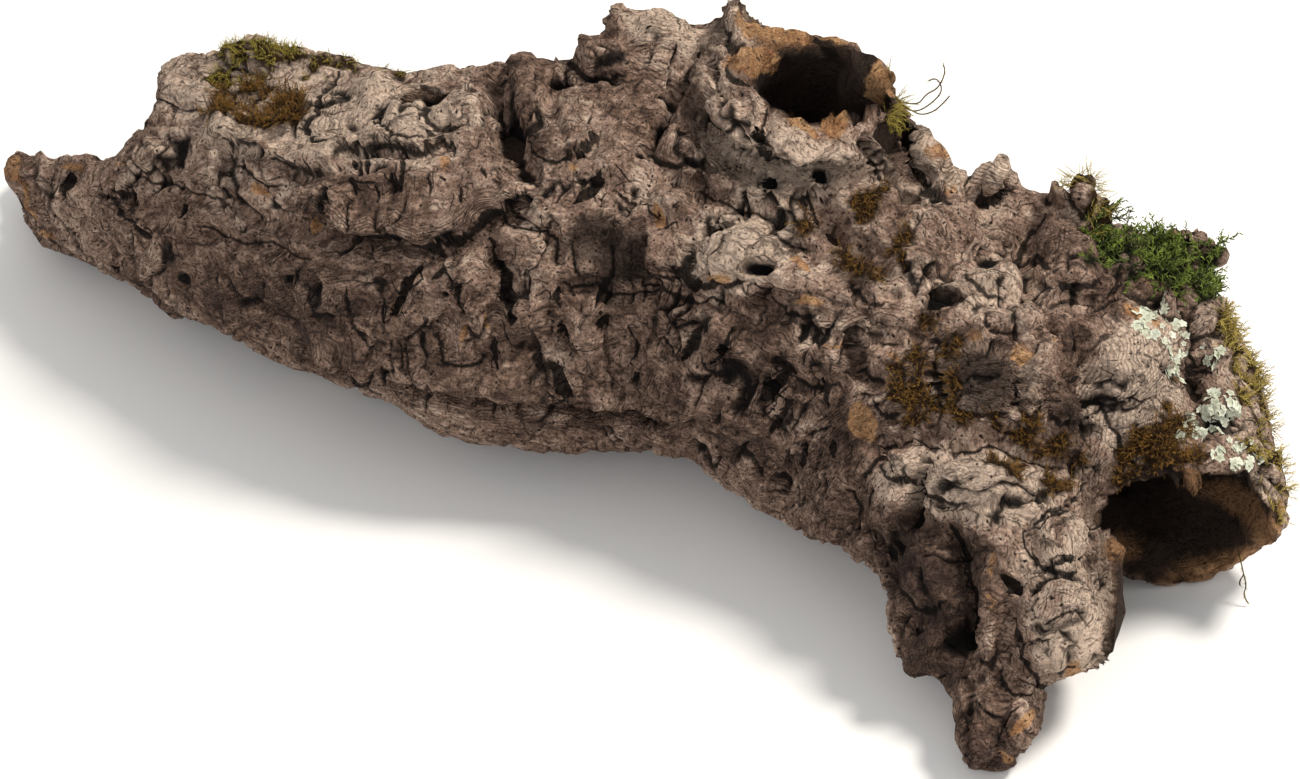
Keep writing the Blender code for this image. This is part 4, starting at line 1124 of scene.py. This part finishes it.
def scatterTree(name, onStrand):
    # stands shoots on a patch of bark, or leaflets along a stem
    sockets = {socket: "Float" for socket in ("Spacing", "Length", "Width", "Lean", "Stem radius")}
    sockets.update({"Seed": "Int", "Shoot": "Object", "Finish": "Material"})
    tree, add, inputs = newTree(name, sockets)
    shoot = add("ObjectInfo", {"Object": inputs["Shoot"]}).outputs["Geometry"]
    if onStrand:
        spots = add("CurveToPoints LENGTH", {"Curve": inputs["Geometry"], "Length": inputs["Spacing"]})
    else:
        density = add("Math POWER", [inputs["Spacing"], -2.0])
        density = add("Math MULTIPLY", [density, add("InputNamedAttribute FLOAT", {"Name": "thick"})])
        spots = add("DistributePointsOnFaces", {"Mesh": inputs["Geometry"], "Density": density,
                                                "Seed": inputs["Seed"]})
    turned = spots.outputs["Rotation"]
    seeds = [add("Math ADD", [inputs["Seed"], float(k)]) for k in range(4)]
    spin = add("RandomValue FLOAT", {2: 0.0, 3: 2 * math.pi, "Seed": seeds[0]})
    leanBack = add("Math MULTIPLY", [inputs["Lean"], -0.15])
    tilt = add("RandomValue FLOAT", {2: leanBack, 3: inputs["Lean"], "Seed": seeds[1]})
    for turn in ({"Z": spin}, {"X": tilt}):
        turn = add("EulerToRotation", [add("CombineXYZ", turn)])
        turned = add("RotateRotation", {"rotation_space": "LOCAL", 0: turned, 1: turn})
    size = add("RandomValue FLOAT", {2: 0.55, 3: 1.25, "Seed": seeds[2]})
    tall = add("Math MULTIPLY", [size, inputs["Length"]])
    wide = add("Math MULTIPLY", [size, inputs["Width"]])
    scale = add("CombineXYZ", [wide, wide, tall])
    made = add("InstanceOnPoints", {"Points": spots.outputs["Points"], "Instance": shoot, "Rotation": turned,
                                    "Scale": scale})
    shade = add("RandomValue FLOAT", {"Seed": seeds[3]}).outputs[1]
    made = add("StoreNamedAttribute FLOAT", {"domain": "INSTANCE", "Name": "shade", "Geometry": made,
                                             "Value": shade})
    made = add("RealizeInstances", {"Geometry": made})
    if onStrand:
        ring = add("CurvePrimitiveCircle", {"Resolution": 6, "Radius": inputs["Stem radius"]})
        stem = add("CurveToMesh", {"Fill Caps": True, "Curve": inputs["Geometry"], "Profile Curve": ring})
        joined = add("JoinGeometry")
        for part in (stem, made):
            tree.links.new(part.outputs[0], joined.inputs[0])
        made = joined
    add("NodeGroupOutput", [add("SetMaterial", {"Geometry": made, "Material": inputs["Finish"]})])
    return tree


def patchMesh(barkMesh, barkPoints, node, reach):
    # the part of the bark's skin that a growth covers, with a thinning edge
    nodeMesh = node.data
    spots = [v.co.copy() for v in nodeMesh.vertices]
    for face in nodeMesh.polygons:
        corners = [nodeMesh.vertices[i].co for i in face.vertices]
        middle = sum(corners, Vector()) / len(corners)
        spots.append(middle)
        spots += [(middle + corner) / 2 for corner in corners]
    near = kdtree.KDTree(len(spots))
    for i, spot in enumerate(spots):
        near.insert(spot, i)
    near.balance()
    close = boxed(barkPoints, 12 * mm, spots)
    inside = readValues(barkMesh, "inside")
    thick = {}
    for i in close:
        if inside[i] > 0.75:
            continue
        p = Vector(barkPoints[i])
        gap = near.find(p)[2] / mm
        ragged = 8.0 * noise.noise(p / 0.008) + 4.0 * noise.noise(p / 0.003)
        amount = between(reach + 4.0, reach + 1.5, gap + ragged)
        if amount > 0.02:
            thick[int(i)] = float(amount)
    faces = [tuple(f.vertices) for f in barkMesh.polygons if all(v in thick for v in f.vertices)]
    order = {v: k for k, v in enumerate(sorted({v for f in faces for v in f}))}
    mesh = bpy.data.meshes.new("patch")
    mesh.from_pydata([barkPoints[v] for v in order], [], [[order[v] for v in f] for f in faces])
    store(mesh, "thick", np.array([thick[v] for v in order]))
    return mesh, thick


def growMoss(body):
    # moss and lichen on the finished bark; the bark under each moss patch is stained too
    barkPoints = readPoints(body.data)
    stained = {name: np.zeros(len(barkPoints)) for name in ("green", "brown")}
    helpers = {False: newObject("shoot", shootMesh()), True: newObject("lobe", lobeMesh())}
    tree = scatterTree("growthOnBark", False)
    materials = {finish: mossMaterial(finish) for finish in finishes}
    for count, (name, row) in enumerate(mosses.items()):
        sizes = dict(zip(growthSizes, row))
        mesh, thick = patchMesh(body.data, barkPoints, frame["nodes"][name], sizes["reach"])
        piece = newObject(name + "_growth", mesh)
        finish = sizes["finish"]
        lichen = finish == "lichen"
        across = sizes["length"] if lichen else sizes["width"]
        tall = sizes["width"] if lichen else sizes["length"]
        useTree(piece, tree, {"Spacing": sizes["spacing"] * mm, "Length": tall * mm, "Width": across * mm,
                              "Lean": math.radians(sizes["lean"]), "Seed": count * 10,
                              "Shoot": helpers[lichen], "Finish": materials[finish]})
        applied(piece)
        if not lichen:
            key = "green" if finish == "moss_green" else "brown"
            for v, amount in thick.items():
                stained[key][v] = max(stained[key][v], amount)
        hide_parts(name)
        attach(piece, "root")
        say(f"{name}: {len(piece.data.polygons)} faces")
    tree = scatterTree("leafletsOnStem", True)
    for count, (name, sizes) in enumerate(strands.items()):
        data = bpy.data.curves.new(name, "CURVE")
        data.dimensions = "3D"
        data.resolution_u = 6
        for stem in sizes["stems"]:
            spline = data.splines.new("NURBS")
            spline.points.add(len(stem) - 1)
            for point, place in zip(spline.points, stem):
                point.co = (*place, 1.0)
            spline.use_endpoint_u = True
            spline.order_u = 3
        line = newObject(name + "_line", data)
        useTree(line, tree, {"Spacing": sizes["spacing"] * mm, "Length": 1.9 * mm, "Width": 1.4 * mm,
                             "Lean": 1.2, "Seed": 300 + count, "Stem radius": 0.28 * mm,
                             "Shoot": helpers[False], "Finish": materials["moss_gold"]})
        depsgraph = bpy.context.evaluated_depsgraph_get()
        mesh = bpy.data.meshes.new_from_object(line.evaluated_get(depsgraph))
        bpy.data.objects.remove(line)
        piece = newObject(name + "_stems", mesh)
        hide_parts(name)
        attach(piece, "root")
        say(f"{name}: {len(mesh.polygons)} faces")
    for helper in helpers.values():
        bpy.data.objects.remove(helper)
    for name, values in stained.items():
        store(body.data, name, values)


def addStudio():
    scene = bpy.context.scene
    scene.view_settings.view_transform = "Standard"
    world = bpy.data.worlds.new("studio")
    world.use_nodes = True
    world.node_tree.nodes["Background"].inputs[0].default_value = hexColour("#f4f3f1")
    world.node_tree.nodes["Background"].inputs[1].default_value = 0.75
    scene.world = world
    for name, place, size, power, tint in (
        ("key", (1.15, 0.15, 1.75), 0.5, 42, "#fff9f0"),
        ("fill", (-0.6, -1.9, 1.3), 1.6, 12, "#f6f8ff"),
    ):
        data = bpy.data.lights.new(name, "AREA")
        data.shape = "DISK"
        data.size = size
        data.energy = power
        data.color = hexColour(tint)[:3]
        lamp = bpy.data.objects.new(name, data)
        lamp.location = place
        aim = Vector(camera["target"]) - Vector(place)
        lamp.rotation_euler = aim.to_track_quat("-Z", "Y").to_euler()
        bpy.context.collection.objects.link(lamp)
    bm = bmesh.new()
    bmesh.ops.create_circle(bm, cap_ends=True, segments=96, radius=6.0)
    mesh = bpy.data.meshes.new("pale_floor")
    bm.to_mesh(mesh)
    bm.free()
    floor = newObject("pale_floor", mesh)
    material, add = newMaterial("matt_pale_floor")  # even and dull, as painted board is
    surface = add("BsdfPrincipled", {"Base Color": hexColour("#eeedeb"), "Roughness": 0.9})
    add("OutputMaterial", {"Surface": surface})
    mesh.materials.append(material)


def main():
    addCamera()
    addStudio()
    body = growBody()
    inside = markLimbs(body.data)
    store(body.data, "inside", inside)
    shapeShowSide(body, inside)
    giveRelief(body, corkMaterial())
    thinned(body)
    growMoss(body)
    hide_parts("bark")
    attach(body, "root")


main()
